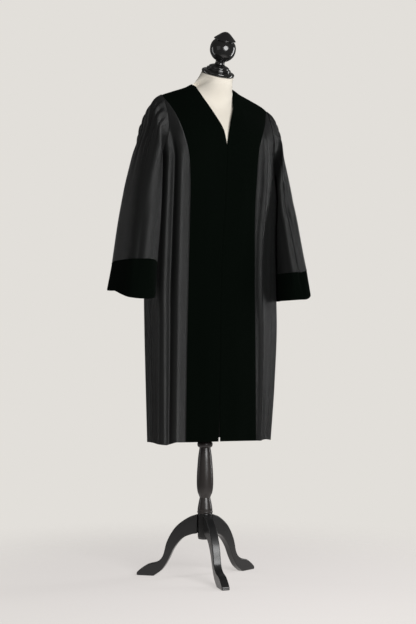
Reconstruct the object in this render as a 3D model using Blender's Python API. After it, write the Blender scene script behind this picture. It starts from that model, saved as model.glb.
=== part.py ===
"""A prosecutor's robe worn by a limbless dress form on a turned three-legged stand.

The robe faces -Y and stands on z = 0. Lengths are in metres. The cloth pieces are sampled
from one garment surface, whose place is given by an angle round the body and a station
down it: 0 on the shoulder seams, 1 at the underarm and 2 at the hem.
"""
import math
from collections import namedtuple

import bmesh
import bpy
import numpy as np
from mathutils import Vector

for old in list(bpy.data.objects):
    bpy.data.objects.remove(old, do_unlink=True)

# Driving sizes of the garment. Where the wearer's two sides differ, -1 is the right one.
HEM_HEIGHT = 0.450
UNDERARM_HEIGHT = 1.360
ARMHOLE_ACROSS = {-1: 0.186, 1: 0.212}
NECK_POINT_ACROSS = 0.075
SEAM_FORWARD = 0.045
V_STATION = 0.83
YOKE_HEIGHT = 1.500
WALL = 0.002
SEAM_GAP = 0.0004
ARMHOLE_GAP = 0.0007
CUFF_PROUD = 0.0012
SLEEVE_CLEAR = 0.003
SLEEVE_HANGS_CLEAR = 0.008
BESIDE = 0.012
SIDE_SEAM_ACROSS = 0.200
SIDE_SEAM_TURN = math.degrees(SEAM_GAP / 2 / SIDE_SEAM_ACROSS)

# Heights of the shoulder seam, and of the neckline that stands up behind the neck
Ridge = namedtuple("Ridge", "across height")
RIDGE = [
    Ridge(0.000, 1.630), Ridge(0.075, 1.612), Ridge(0.100, 1.599), Ridge(0.150, 1.580),
    Ridge(0.200, 1.559), Ridge(0.222, 1.541), Ridge(0.244, 1.522),
]
NAPE_RISE = 0.050
NAPE_STATION = 0.13

# Girths of the robe at each station: half widths, depths and squareness of the section
Girth = namedtuple("Girth", "station wearers_right wearers_left front back power")
GIRTHS = [
    Girth(0.00, 0.262, 0.262, 0.146, 0.118, 2.4),
    Girth(0.45, 0.250, 0.250, 0.147, 0.119, 2.6),
    Girth(0.80, 0.222, 0.228, 0.145, 0.116, 3.2),
    Girth(1.00, 0.207, 0.221, 0.141, 0.110, 3.8),
    Girth(1.13, 0.205, 0.236, 0.130, 0.105, 3.4),
    Girth(1.30, 0.205, 0.241, 0.119, 0.103, 3.0),
    Girth(1.46, 0.206, 0.245, 0.114, 0.105, 2.8),
    Girth(1.58, 0.203, 0.248, 0.112, 0.106, 2.8),
    Girth(1.80, 0.199, 0.239, 0.109, 0.099, 2.8),
    Girth(2.00, 0.196, 0.224, 0.107, 0.091, 2.8),
]

# How the section opens out from the shoulder seam to its full depth at the chest
Swell = namedtuple("Swell", "station share")
SWELLS = [
    Swell(0.00, 0.00), Swell(0.03, 0.14), Swell(0.10, 0.29), Swell(0.24, 0.49),
    Swell(0.34, 0.64), Swell(0.50, 0.83), Swell(0.66, 0.96), Swell(0.82, 0.99),
    Swell(1.00, 1.00),
]

# Soft folds: angle in degrees round the body where each starts, at the waist and at the hem
# (negative on the wearer's right, 0 in front), stations where it starts and is full, depth
# and half width in degrees
Fold = namedtuple("Fold", "angle waist_angle hem_angle start full depth half_width")
FOLDS = [
    Fold(-42, -50.5, -58, 0.25, 0.95, -0.009, 5.6),
    Fold(-31, -38, -45, 0.70, 1.15, 0.002, 6.0),
    Fold(-56, -64, -75, 0.70, 1.05, 0.004, 6.5),
    Fold(-96, -98, -104, 1.15, 1.60, 0.005, 5.0),
    Fold(37, 29.5, 37, 0.40, 0.95, 0.006, 3.4),
    Fold(49, 41, 48, 0.30, 0.80, -0.004, 7.0),
    Fold(70, 70, 71, 0.95, 1.15, 0.010, 7.5),
    Fold(118, 116, 112, 0.85, 1.20, -0.009, 5.0),
    Fold(132, 129, 126, 0.60, 1.15, 0.008, 5.0),
    Fold(144, 142, 140, 0.50, 1.00, -0.010, 4.5),
    Fold(155, 155, 154, 0.45, 0.95, 0.008, 4.5),
    Fold(166, 166, 167, 0.50, 1.05, -0.009, 4.0),
    Fold(-176, -175, -174, 0.45, 1.00, 0.009, 5.0),
    Fold(-164, -163, -162, 0.50, 0.95, -0.010, 4.5),
    Fold(-152, -151, -149, 0.45, 1.05, 0.008, 5.0),
    Fold(-140, -137, -134, 0.55, 1.00, -0.009, 4.5),
    Fold(-127, -125, -121, 0.70, 1.15, 0.008, 5.5),
]
WAIST_STATION = 1.25

# Edges of the velvet fronts, measured across the body: the V, the closure and the outer seam
Edge = namedtuple("Edge", "station wearers_right wearers_left")
V_EDGE = [
    Edge(0.00, 0.0750, 0.0750), Edge(0.05, 0.0700, 0.0675), Edge(0.10, 0.0670, 0.0590),
    Edge(0.165, 0.0615, 0.0545), Edge(0.24, 0.0542, 0.0508), Edge(0.34, 0.0445, 0.0425),
    Edge(0.45, 0.0328, 0.0287), Edge(0.56, 0.0196, 0.0167), Edge(0.67, 0.0087, 0.0075),
    Edge(V_STATION, 0.0, 0.0),
]
VELVET_EDGE = [
    Edge(0.00, 0.1860, 0.2120), Edge(0.05, 0.1840, 0.2050), Edge(0.10, 0.1810, 0.1995),
    Edge(0.165, 0.1750, 0.1935), Edge(0.24, 0.1690, 0.1870), Edge(0.34, 0.1630, 0.1770),
    Edge(0.45, 0.1578, 0.1632), Edge(0.56, 0.1532, 0.1491), Edge(0.67, 0.1486, 0.1370),
    Edge(0.83, 0.1400, 0.1252), Edge(1.00, 0.1320, 0.1205), Edge(1.13, 0.1225, 0.1192),
    Edge(1.36, 0.1198, 0.1256), Edge(1.68, 0.1226, 0.1321), Edge(2.00, 0.1245, 0.1390),
]
Slit = namedtuple("Slit", "station across")
CLOSURE = [
    Slit(V_STATION, 0.0006), Slit(1.00, 0.0012), Slit(1.13, 0.0012), Slit(1.36, -0.0042),
    Slit(1.58, -0.0063), Slit(2.00, -0.0076),
]
SLIT = [Slit(V_STATION, 0.0), Slit(1.50, 0.0), Slit(1.90, 0.0006), Slit(2.00, 0.0030)]

# The hem doesn't hang quite level: its rise at angles round the body
Hem = namedtuple("Hem", "angle rise")
HEM_RISES = [
    Hem(-180, 0.004), Hem(-130, 0.002), Hem(-95, 0.003), Hem(-62, -0.003), Hem(-45, 0.007),
    Hem(0, 0.006), Hem(36, 0.002), Hem(55, 0.004), Hem(72, -0.001), Hem(110, 0.003),
    Hem(180, 0.004),
]

# Stations of the rows of points in the fronts and the back
ROWS = [
    0.0, 0.05, 0.10, 0.165, 0.24, 0.34, 0.45, 0.56, 0.67, V_STATION, 0.90, 1.00, 1.10,
    1.22, 1.36, 1.52, 1.68, 1.84, 2.00,
]
SIDE_TOP_ROW = 1
WORN = {-1: "wearers_right", 1: "wearers_left"}
LAST_ARMHOLE_ROW = 12

# Stations down the sleeve, 0 at the armhole and 1 at the cuff seam: its outer and inner
# lines seen from the front, how far it reaches before and behind, and its squareness
Limb = namedtuple("Limb", "station outer_across outer_height inner_across inner_height front back power")
SLEEVE = [
    Limb(0.00, 0.2003, 1.559, 0.207, 1.360, 0.102, -0.090, 2.2),
    Limb(0.05, 0.2240, 1.545, 0.209, 1.349, 0.108, -0.084, 2.2),
    Limb(0.11, 0.2405, 1.520, 0.211, 1.330, 0.116, -0.066, 2.2),
    Limb(0.20, 0.2500, 1.455, 0.213, 1.292, 0.126, -0.040, 2.2),
    Limb(0.32, 0.2755, 1.372, 0.215, 1.243, 0.133, -0.028, 2.4),
    Limb(0.50, 0.3040, 1.270, 0.219, 1.180, 0.139, -0.025, 2.6),
    Limb(0.75, 0.3260, 1.150, 0.226, 1.110, 0.143, -0.030, 2.8),
    Limb(1.00, 0.3440, 1.030, 0.234, 1.030, 0.146, -0.034, 2.8),
]
CUFF = [
    Limb(0.00, 0.3440, 1.030, 0.234, 1.030, 0.146, -0.034, 2.8),
    Limb(1.00, 0.3610, 0.930, 0.240, 0.930, 0.150, -0.038, 2.8),
]
# How the wearer's left sleeve hangs otherwise: its outer line further in, its front less far
# forward. The cuff below it hangs in by as much as the sleeve's end.
Lie = namedtuple("Lie", "station inward backward")
LEFT_LIES = [
    Lie(0.00, 0.0000, 0.000), Lie(0.05, 0.0040, 0.002), Lie(0.11, 0.0070, 0.004),
    Lie(0.20, 0.0080, 0.010), Lie(0.32, 0.0110, 0.022), Lie(0.50, 0.0160, 0.026),
    Lie(0.60, 0.0180, 0.020), Lie(0.75, 0.0180, 0.014), Lie(0.89, 0.0170, 0.008),
    Lie(1.00, 0.0155, 0.002),
]
# Heights of each cuff's seam and hem at angles round the sleeve (0 outside, 90 in front,
# 180 against the body)
Hang = namedtuple("Hang", "angle seam hem")
RIGHT_HANG = [
    Hang(0, 1.031, 0.936), Hang(25, 1.032, 0.922), Hang(50, 1.033, 0.913), Hang(90, 1.033, 0.909),
    Hang(135, 1.024, 0.916), Hang(180, 1.010, 0.925), Hang(270, 1.022, 0.944),
    Hang(360, 1.031, 0.938),
]
LEFT_HANG = [
    Hang(0, 1.026, 0.939), Hang(50, 1.019, 0.932), Hang(90, 1.010, 0.918),
    Hang(180, 1.005, 0.914), Hang(270, 1.020, 0.941), Hang(360, 1.026, 0.939),
]
SLEEVE_ROWS = [0.0, 0.02, 0.05, 0.09, 0.14, 0.20, 0.28, 0.38, 0.50, 0.66, 0.83, 1.0]
CUFF_ROWS = [0.0, 0.35, 0.7, 1.0]
SLEEVE_COLUMNS = 40

# Pleats of the sleeve head: angle round the sleeve (0 on top, 90 in front), the angle where
# it dies out, the station where it dies, depth and half width in degrees
Pleat = namedtuple("Pleat", "angle end_angle end depth half_width")
PLEATS = [
    Pleat(-72, -84, 0.36, 0.0040, 6), Pleat(-52, -60, 0.42, 0.0042, 6),
    Pleat(-34, -38, 0.50, 0.0042, 6), Pleat(-16, -14, 0.40, 0.0040, 6),
    Pleat(2, 10, 0.55, 0.0042, 6), Pleat(20, 34, 0.46, 0.0038, 6),
    Pleat(39, 60, 0.40, 0.0028, 6),
]

# Hanging folds of each sleeve, -1 the wearer's right: angle at the head and at the cuff, where
# it starts and is full, depth and half width in degrees
Ripple = namedtuple("Ripple", "angle cuff_angle start full depth half_width")
RIPPLES = {
    -1: [
        Ripple(90, 95, 0.30, 0.75, -0.0052, 12), Ripple(62, 66, 0.40, 1.00, 0.0030, 12),
        Ripple(-38, -30, 0.35, 0.90, 0.0030, 10), Ripple(-118, -110, 0.10, 0.60, 0.0026, 10),
    ],
    1: [
        Ripple(95, 90, 0.04, 0.35, 0.0045, 6), Ripple(-48, -40, 0.30, 0.90, -0.0024, 10),
        Ripple(-92, -84, 0.10, 0.60, 0.0030, 11),
    ],
}

# The dress form: half width and depths at each height, below the shoulders
Torso = namedtuple("Torso", "height half_width front back power")
TORSO = [
    Torso(0.860, 0.158, 0.096, 0.090, 2.4), Torso(0.930, 0.164, 0.099, 0.096, 2.4),
    Torso(1.020, 0.152, 0.093, 0.084, 2.3), Torso(1.130, 0.134, 0.090, 0.066, 2.3),
    Torso(1.240, 0.148, 0.108, 0.078, 2.4), Torso(1.340, 0.168, 0.128, 0.096, 2.6),
    Torso(1.420, 0.180, 0.138, 0.106, 3.0), Torso(1.560, 0.186, 0.140, 0.112, 3.2),
]
TORSO_INSET = 0.0040
TORSO_DROP = 0.0046
TORSO_COLUMNS = 44
FILLS_ROBE_FROM, FILLS_ROBE_TO = 1.40, 1.48
SHOULDERS_FROM = 1.50
NECK_FROM = 1.46
NECK_ROOM_TO, NECK_ROOM_END = 0.085, 0.115
NECK_ROOM = 0.007
NECK_RADIUS = 0.0580
NECK_TOP_RADIUS = 0.0540
NECK_LEAN = math.radians(24)
NECK_BASE = (0.053, 1.580)
NECK_TOP_UP = 0.070
NECK_BLEND = 0.006

# Turned pieces: radius and height of each corner of the profile, from its foot up
Turn = namedtuple("Turn", "radius height")
POLE_RADIUS = 0.0165
BEAD_TOP = 0.4500
COLUMN = [
    Turn(0.0090, 0.2134), Turn(0.0240, 0.2134), Turn(0.0255, 0.2155), Turn(0.0253, 0.2195),
    Turn(0.0242, 0.2215), Turn(0.0242, 0.2290), Turn(0.0230, 0.2365), Turn(0.0209, 0.2485),
    Turn(0.0182, 0.2610), Turn(0.0174, 0.2645), Turn(0.0186, 0.2675), Turn(0.0214, 0.2746),
    Turn(0.0240, 0.2811), Turn(0.0262, 0.2935), Turn(0.0272, 0.3072), Turn(0.0273, 0.3260),
    Turn(0.0265, 0.3480), Turn(0.0247, 0.3740), Turn(0.0224, 0.4000), Turn(0.0188, 0.4240),
    Turn(0.0182, 0.4290), Turn(0.0215, 0.4315), Turn(0.0250, 0.4370), Turn(0.0250, 0.4430),
    Turn(0.0215, 0.4490), Turn(0.0090, BEAD_TOP),
]
HUB = [
    Turn(0.0100, 0.1280), Turn(0.0220, 0.1285), Turn(0.0235, 0.1315), Turn(0.0235, 0.1340),
    Turn(0.0243, 0.1380), Turn(0.0243, 0.2080), Turn(0.0225, 0.2130), Turn(0.0090, 0.2131),
]
CAP = [
    Turn(0.0060, 0.0000), Turn(0.0480, 0.0000), Turn(0.0525, 0.0025), Turn(0.0535, 0.0070),
    Turn(0.0520, 0.0115), Turn(0.0400, 0.0140), Turn(0.0385, 0.0150), Turn(0.0385, 0.0200),
    Turn(0.0320, 0.0220), Turn(0.0310, 0.0270), Turn(0.0230, 0.0310), Turn(0.0060, 0.0320),
]
FINIAL = [
    Turn(0.0060, 0.0323), Turn(0.0180, 0.0330), Turn(0.0150, 0.0380), Turn(0.0150, 0.0430),
    Turn(0.0210, 0.0470), Turn(0.0310, 0.0550), Turn(0.0390, 0.0660), Turn(0.0417, 0.0790),
    Turn(0.0412, 0.0910), Turn(0.0375, 0.1020), Turn(0.0325, 0.1080), Turn(0.0320, 0.1100),
    Turn(0.0350, 0.1120), Turn(0.0350, 0.1150), Turn(0.0250, 0.1230), Turn(0.0135, 0.1325),
    Turn(0.0045, 0.1375),
]
TURN_STEPS = 24

# Legs: outline seen from the side, distance from the column and height
LEG_WIDTH = 0.026
LEG_TURN = math.radians(13.7)
LEG_TOP = [
    (0.0247, 0.209), (0.060, 0.195), (0.099, 0.164), (0.127, 0.118), (0.142, 0.068),
    (0.163, 0.047), (0.198, 0.036), (0.228, 0.014), (0.233, 0.004),
]
LEG_UNDER = [
    (0.231, 0.0), (0.174, 0.0), (0.146, 0.021), (0.125, 0.052), (0.104, 0.094),
    (0.075, 0.128), (0.045, 0.142), (0.0247, 0.146),
]


def material(name, color, roughness, metallic=0.0):
    """A Principled material with one colour."""
    made = bpy.data.materials.new(name)
    made.use_nodes = True
    shader = made.node_tree.nodes["Principled BSDF"]
    shader.inputs["Base Color"].default_value = (*color, 1.0)
    shader.inputs["Roughness"].default_value = roughness
    shader.inputs["Metallic"].default_value = metallic
    return made


WOOL = material("black_wool", (0.020, 0.020, 0.021), 0.62)
VELVET = material("black_velvet", (0.004, 0.006, 0.005), 0.85)
JERSEY = material("ivory_jersey", (0.78, 0.73, 0.63), 0.85)
LACQUER = material("black_lacquer", (0.012, 0.012, 0.012), 0.18)
DARK_WOOD = material("dark_satin_wood", (0.022, 0.018, 0.016), 0.38)


def curve_through(xs, ys, at):
    """A smooth curve through the points (xs, ys) that never overshoots them, read at `at`.

    Each point's slope is the harmonic mean of the slopes of the stretches on its two sides,
    or zero at a peak, and a cubic joins the points.
    """
    xs, ys = np.asarray(xs, float), np.asarray(ys, float)
    at = np.clip(np.asarray(at, float), xs[0], xs[-1])
    step = np.diff(xs)
    rise = np.diff(ys) / step
    slope = np.zeros(len(xs))
    slope[0], slope[-1] = rise[0], rise[-1]
    same_way = rise[:-1] * rise[1:] > 0
    both = rise[:-1] + rise[1:]
    slope[1:-1] = np.where(same_way, 2 * rise[:-1] * rise[1:] / np.where(same_way, both, 1.0), 0.0)
    k = np.clip(np.searchsorted(xs, at, side="right") - 1, 0, len(step) - 1)
    t = (at - xs[k]) / step[k]
    start = ys[k] * (1 + 2 * t) * (1 - t) ** 2 + slope[k] * step[k] * t * (1 - t) ** 2
    end = ys[k + 1] * t * t * (3 - 2 * t) - slope[k + 1] * step[k] * t * t * (1 - t)
    return start + end


def column_of(table, name, at):
    """One named column of a table, read at the given values of its first column."""
    return curve_through([row[0] for row in table], [getattr(row, name) for row in table], at)


def ease(x, start, end):
    """0 before start, 1 after end, and an even rise with level ends between them."""
    t = np.clip((np.asarray(x, float) - start) / (end - start), 0, 1)
    return t * t * (3 - 2 * t)


def half_width(station, wearers_left):
    return np.where(
        wearers_left,
        column_of(GIRTHS, "wearers_left", station),
        column_of(GIRTHS, "wearers_right", station),
    )


def seam_height(across, behind):
    """Height of the shoulder seam, which rises behind the neck to the nape."""
    across = np.abs(across)
    rise = np.clip(1 - (across / NECK_POINT_ACROSS) ** 2, 0, None) ** 2 * NAPE_RISE
    return column_of(RIDGE, "height", across) + np.where(behind, rise, 0.0)


def garment(angle, station):
    """Point of the robe's outer surface at an angle round the body and a station down it.

    The section is a superellipse. Above the underarm it closes up to the shoulder seam, and
    its folds push it out or in square to its outline.
    """
    angle = np.asarray(angle, float)
    station = np.broadcast_to(np.asarray(station, float), angle.shape)
    side = np.where(angle < 0, -1.0, 1.0)
    turn = np.radians(np.abs(angle))
    power = column_of(GIRTHS, "power", station)
    wide = half_width(station, side > 0)
    sine = np.clip(np.sin(turn), 0, 1)
    cosine = np.clip(np.abs(np.cos(turn)), 0, 1)
    behind = np.abs(angle) > 90
    deep = np.where(
        behind, column_of(GIRTHS, "back", station), column_of(GIRTHS, "front", station)
    )
    across = wide * sine ** (2 / power)
    forward = np.where(behind, -1.0, 1.0) * deep * cosine ** (2 / power)
    opened = column_of(SWELLS, "share", station)
    forward = SEAM_FORWARD + (forward - SEAM_FORWARD) * opened
    top = seam_height(across, behind)
    height = np.where(
        station < 1,
        top - station * (top - UNDERARM_HEIGHT),
        UNDERARM_HEIGHT - (station - 1) * (UNDERARM_HEIGHT - HEM_HEIGHT),
    )
    rise = np.interp(angle, [row.angle for row in HEM_RISES], [row.rise for row in HEM_RISES])
    height = height + rise * ease(station, 1.2, 2.0)
    push = folds_at(angle, station)
    out_across = sine ** (2 - 2 / power) / wide
    out_forward = np.where(behind, -1.0, 1.0) * cosine ** (2 - 2 / power) / deep
    length = np.hypot(out_across, out_forward)
    across = across + push * out_across / length
    forward = forward + push * out_forward / length
    return np.stack([side * across, -forward, height], axis=-1)


def folds_at(angle, station):
    """How far the folds push the surface out (or in, below zero) at an angle and a station."""
    push = np.zeros(angle.shape)
    for fold in FOLDS:
        middle = np.interp(station, [fold.start, WAIST_STATION, 2.0], fold[:3])
        off = (angle - middle + 180) % 360 - 180
        push = push + fold.depth * ease(station, fold.start, fold.full) * np.exp(
            -((off / fold.half_width) ** 2)
        )
    return push


def angle_at(across, station, behind=False):
    """The angle round the body of a point this far across it."""
    across = np.asarray(across, float)
    power = column_of(GIRTHS, "power", station)
    ratio = np.clip(np.abs(across) / half_width(station, across > 0), 0, 1)
    angle = np.degrees(np.arcsin(ratio ** (power / 2)))
    return np.where(across < 0, -1.0, 1.0) * (180 - angle if behind else angle)


def armhole(turn, behind, side):
    """Angle and station of the armhole's edge, from 0 degrees on the shoulder to 90 underneath."""
    station = np.sin(np.radians(turn))
    flat = np.abs(angle_at(np.full(np.shape(turn), side * ARMHOLE_ACROSS[side]), station))
    to_side = (1 - np.cos(np.radians(turn))) ** 1.6
    angle = flat + (90 - flat) * to_side
    return (180 - angle if behind else angle), station


def outward(angle, station):
    """Unit normals of the garment's surface, from points a little way round and down it."""
    step_angle, step_station = 0.2, 0.004
    low = np.maximum(station - step_station, 0)
    high = np.minimum(station + step_station, 2)
    around = garment(angle + step_angle, station) - garment(angle - step_angle, station)
    down = garment(angle, high) - garment(angle, low)
    normal = np.cross(down, around)
    return normal / np.linalg.norm(normal, axis=-1, keepdims=True)


def add_object(name, vertices, faces, paint, smooth_below=40):
    """A mesh object with its faces turned outwards and its round parts shaded smooth."""
    mesh = bpy.data.meshes.new(name)
    mesh.from_pydata([tuple(v) for v in vertices], [], faces)
    shape = bmesh.new()
    shape.from_mesh(mesh)
    bmesh.ops.recalc_face_normals(shape, faces=shape.faces)
    shape.to_mesh(mesh)
    shape.free()
    mesh.shade_smooth()
    mesh.set_sharp_from_angle(angle=math.radians(smooth_below))
    mesh.materials.append(paint)
    made = bpy.data.objects.new(name, mesh)
    bpy.context.scene.collection.objects.link(made)
    return made


def cloth(name, outer, inner, paint, round_tube=False):
    """A closed wall between an outer and an inner grid of points, open along their edges."""
    rows, columns = outer.shape[:2]
    count = rows * columns
    vertices = np.concatenate([outer.reshape(-1, 3), inner.reshape(-1, 3)])
    faces = []
    last = columns if round_tube else columns - 1
    for i in range(rows - 1):
        for j in range(last):
            k = (j + 1) % columns
            a, b = i * columns + j, i * columns + k
            c, d = b + columns, a + columns
            faces.append((a, d, c, b))
            faces.append((count + a, count + b, count + c, count + d))
    for j in range(last):
        k = (j + 1) % columns
        foot = (rows - 1) * columns
        faces.append((j, k, count + k, count + j))
        faces.append((foot + k, foot + j, count + foot + j, count + foot + k))
    if not round_tube:
        for i in range(rows - 1):
            a, d = i * columns, (i + 1) * columns
            b, c = a + columns - 1, d + columns - 1
            faces.append((d, a, count + a, count + d))
            faces.append((b, c, count + c, count + b))
    return add_object(name, vertices, faces, paint)


def panel(name, place, paint, seam_side=0):
    """A flat-cut piece: its outer points, and a wall one thickness in from them.

    A piece that ends on the shoulder seam has its edge moved off the seam's line, to the
    front (1) or the back (-1), and its wall stands upright there.
    """
    angle, station = place
    points = garment(angle, station)
    normals = outward(angle, station)
    if seam_side:
        on_seam = station < 1e-6
        points[on_seam, 1] -= seam_side * SEAM_GAP / 2
        normals[on_seam, 1] = 0
        normals /= np.linalg.norm(normals, axis=-1, keepdims=True)
    return points, cloth(name, points, points - normals * WALL, paint)


def velvet_front(side):
    """Velvet front from the closure and the V out to the curved seam, up to the shoulder."""
    stations = np.array(ROWS)
    v_edge = column_of(V_EDGE, WORN[side], stations)
    closure = column_of(CLOSURE, "across", stations)
    slit = column_of(SLIT, "across", stations)
    inner = np.where(stations < V_STATION, v_edge, side * closure) + slit + SEAM_GAP / 2
    outer = column_of(VELVET_EDGE, WORN[side], stations) - SEAM_GAP / 2
    share = np.linspace(0, 1, 8)
    across = side * (inner[:, None] * (1 - share) + outer[:, None] * share)
    station = np.broadcast_to(stations[:, None], across.shape)
    return angle_at(across, station), station


def side_front(side):
    """Wool front from the velvet's seam back to the side seam, and up the armhole."""
    stations = np.array(ROWS[SIDE_TOP_ROW:])
    inner_across = column_of(VELVET_EDGE, WORN[side], stations) + SEAM_GAP / 2
    inner = np.abs(angle_at(side * inner_across, stations))
    climb = np.clip((stations - stations[0]) / (ROWS[LAST_ARMHOLE_ROW] - stations[0]), 0, 1)
    first = math.degrees(math.asin(stations[0]))
    edge, edge_station = armhole(first + (90 - first) * climb, False, side)
    below = stations > ROWS[LAST_ARMHOLE_ROW]
    edge = np.where(below, 90, edge) - SIDE_SEAM_TURN * (edge > 89)
    edge_station = np.where(below, stations, edge_station)
    share = np.linspace(0, 1, 11)
    angle = inner[:, None] * (1 - share) + edge[:, None] * share
    station = stations[:, None] * (1 - share) + edge_station[:, None] * share
    return side * angle, station


YOKE_ROWS = 5
BACK_ARMHOLE_ROWS = 9
BACK_HALF_COLUMNS = 13


def back_edge(side):
    """The back's armhole edge from the yoke seam to the underarm: angles and stations."""
    top = float(seam_height(ARMHOLE_ACROSS[side], True))
    first = math.degrees(math.asin((top - YOKE_HEIGHT) / (top - UNDERARM_HEIGHT)))
    return armhole(np.linspace(first, 90, BACK_ARMHOLE_ROWS), True, side)


def yoke():
    """Velvet yoke over the back of the shoulders, from armhole to armhole round the nape."""
    across = np.concatenate([
        np.linspace(-ARMHOLE_ACROSS[-1], -NECK_POINT_ACROSS, 5), np.linspace(-0.052, 0.052, 5),
        np.linspace(NECK_POINT_ACROSS, ARMHOLE_ACROSS[1], 5),
    ])
    nape = np.clip(1 - (across / NECK_POINT_ACROSS) ** 2, 0, None) ** 0.6 * NAPE_STATION
    top = seam_height(across, True)
    foot = (top - YOKE_HEIGHT - SEAM_GAP / 2) / (top - UNDERARM_HEIGHT)
    share = np.linspace(0, 1, YOKE_ROWS)[:, None]
    station = nape * (1 - share ** 1.2) + foot * share ** 1.2
    wide = np.broadcast_to(across, station.shape)
    return angle_at(wide, station, behind=True), station


def back_half(side):
    """Half of the back, from its middle line out to the armhole's edge and the side seam."""
    edge, edge_station = back_edge(side)
    below = np.array([s for s in ROWS if s > ROWS[LAST_ARMHOLE_ROW]])
    edge = np.concatenate([edge, np.full(len(below), 90.0)])
    edge_station = np.concatenate([edge_station, below])
    edge = edge + SIDE_SEAM_TURN * (edge < 91)
    share = np.linspace(0, 1, BACK_HALF_COLUMNS)
    down = np.concatenate([
        np.linspace(0, 1, BACK_ARMHOLE_ROWS) ** 0.9 * ROWS[LAST_ARMHOLE_ROW], below
    ])
    top_across = share * ARMHOLE_ACROSS[side]
    top = seam_height(top_across, True)
    top_station = (top - YOKE_HEIGHT + SEAM_GAP / 2) / (top - UNDERARM_HEIGHT)
    middle = np.where(
        down[:, None] < ROWS[LAST_ARMHOLE_ROW],
        top_station + (1.08 - top_station) * (down[:, None] / ROWS[LAST_ARMHOLE_ROW]),
        down[:, None],
    )
    station = middle + (edge_station[:, None] - middle[:, -1:]) * share ** 3
    station[0] = top_station
    angle = 180 - (180 - edge[:, None]) * share
    first_row = np.abs(angle_at(side * top_across, top_station, behind=True))
    straight = ease(down, 0.0, 0.5)[:, None]
    return side * (first_row * (1 - straight) + angle * straight), station


def back():
    """Wool back, gathered below the yoke and hanging to the hem, from side seam to side seam."""
    halves = [back_half(-1), back_half(1)]
    return tuple(
        np.concatenate([right[:, :0:-1], left], axis=1) for right, left in zip(*halves)
    )


def armhole_rim(side, front_points, yoke_points, back_points):
    """The armhole as the pieces leave it: down the front from the shoulder, then up the back."""
    velvet_rows, side_rows = front_points
    front = np.concatenate([velvet_rows[:SIDE_TOP_ROW, -1], side_rows[:LAST_ARMHOLE_ROW, -1]])
    column = -1 if side > 0 else 0
    behind = np.concatenate([yoke_points[:, column], back_points[1:BACK_ARMHOLE_ROWS, column]])
    return front, behind


def along(path, share):
    """Points at shares of the length of a path of points."""
    length = np.concatenate([[0], np.cumsum(np.linalg.norm(np.diff(path, axis=0), axis=1))])
    return np.stack(
        [np.interp(share * length[-1], length, path[:, axis]) for axis in range(3)], axis=-1
    )


def limb_section(table, station, turn, side):
    """A ring of points round the sleeve at each station, from its named lines and reach."""
    station = np.broadcast_to(station, turn.shape)
    column = {name: column_of(table, name, station) for name in Limb._fields[1:]}
    cosine = np.sign(np.cos(turn)) * np.abs(np.cos(turn)) ** (2 / column["power"])
    sine = np.sign(np.sin(turn)) * np.abs(np.sin(turn)) ** (2 / column["power"])
    middle = (column["outer_across"] + column["inner_across"]) / 2
    level = (column["outer_height"] + column["inner_height"]) / 2
    across = middle + (column["outer_across"] - middle) * cosine
    height = level + (column["outer_height"] - level) * cosine
    lies_at = station if table is SLEEVE else np.ones(turn.shape)
    lie = {name: column_of(LEFT_LIES, name, lies_at) for name in Lie._fields[1:]}
    front = column["front"] - (lie["backward"] if side > 0 else 0.0)
    centre = (front + column["back"]) / 2
    forward = centre + (front - centre) * sine
    if side > 0:
        across = across - lie["inward"] * (1 + cosine) / 2
    hang = LEFT_HANG if side > 0 else RIGHT_HANG
    degrees = np.degrees(turn) % 360
    angles = [row.angle for row in hang]
    seam = np.interp(degrees, angles, [row.seam for row in hang])
    hem = np.interp(degrees, angles, [row.hem for row in hang])
    if table is SLEEVE:
        height = height + (seam - SLEEVE[-1].outer_height) * ease(station, 0.45, 1.0)
    else:
        height = seam + (hem - seam) * station
    return np.stack([side * across, -forward, height], axis=-1)


def pleats_at(turn, station, side):
    """How far the pleats of the sleeve head and its hanging folds push the sleeve out."""
    degrees = np.degrees(turn)
    push = np.zeros(turn.shape)
    for pleat in PLEATS:
        share = np.clip(station / pleat.end, 0, 1)
        middle = pleat.angle + (pleat.end_angle - pleat.angle) * share
        off = (degrees - middle + 180) % 360 - 180
        depth = pleat.depth * ease(station, 0.0, 0.06) * (1 - ease(station, 0.35 * pleat.end, pleat.end))
        push = push + depth * np.exp(-((off / pleat.half_width) ** 2))
    for ripple in RIPPLES[side]:
        middle = ripple.angle + (ripple.cuff_angle - ripple.angle) * station
        off = (degrees - middle + 180) % 360 - 180
        depth = ripple.depth * ease(station, ripple.start, ripple.full)
        push = push + depth * np.exp(-((off / ripple.half_width) ** 2))
    return push


def clear_of_body(points, side):
    """Moves points of a sleeve out sideways where they would touch the body of the robe.

    Beside and below the armhole the body's section is read at the point's height. Above the
    underarm only the front and the back are there, with the armhole open between them.
    """
    top = float(seam_height(ARMHOLE_ACROSS[side], False))
    for index in np.ndindex(points.shape[:2]):
        point = points[index]
        hanging = float(ease(UNDERARM_HEIGHT - point[2], 0.0, 0.10))
        gap = SLEEVE_CLEAR * (1 - hanging) + SLEEVE_HANGS_CLEAR * hanging
        if point[2] > UNDERARM_HEIGHT:
            station = (top - point[2]) / (top - UNDERARM_HEIGHT)
            if station < 0.5:
                continue
            edge = float(armhole(math.degrees(math.asin(station)), False, side)[0])
            stretches = [np.linspace(edge * 0.8, edge, 12), 180 - np.linspace(edge, edge * 0.8, 12)]
        else:
            station = 1 + (UNDERARM_HEIGHT - point[2]) / (UNDERARM_HEIGHT - HEM_HEIGHT)
            stretches = [np.linspace(2, 178, 120)]
        for angles in stretches:
            ring = garment(side * angles, np.full(angles.shape, station))
            beside = np.abs(ring[:, 1] - point[1]) < BESIDE
            if beside.any():
                point[0] = side * max(abs(point[0]), np.abs(ring[beside, 0]).max() + gap)
    return points


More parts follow.
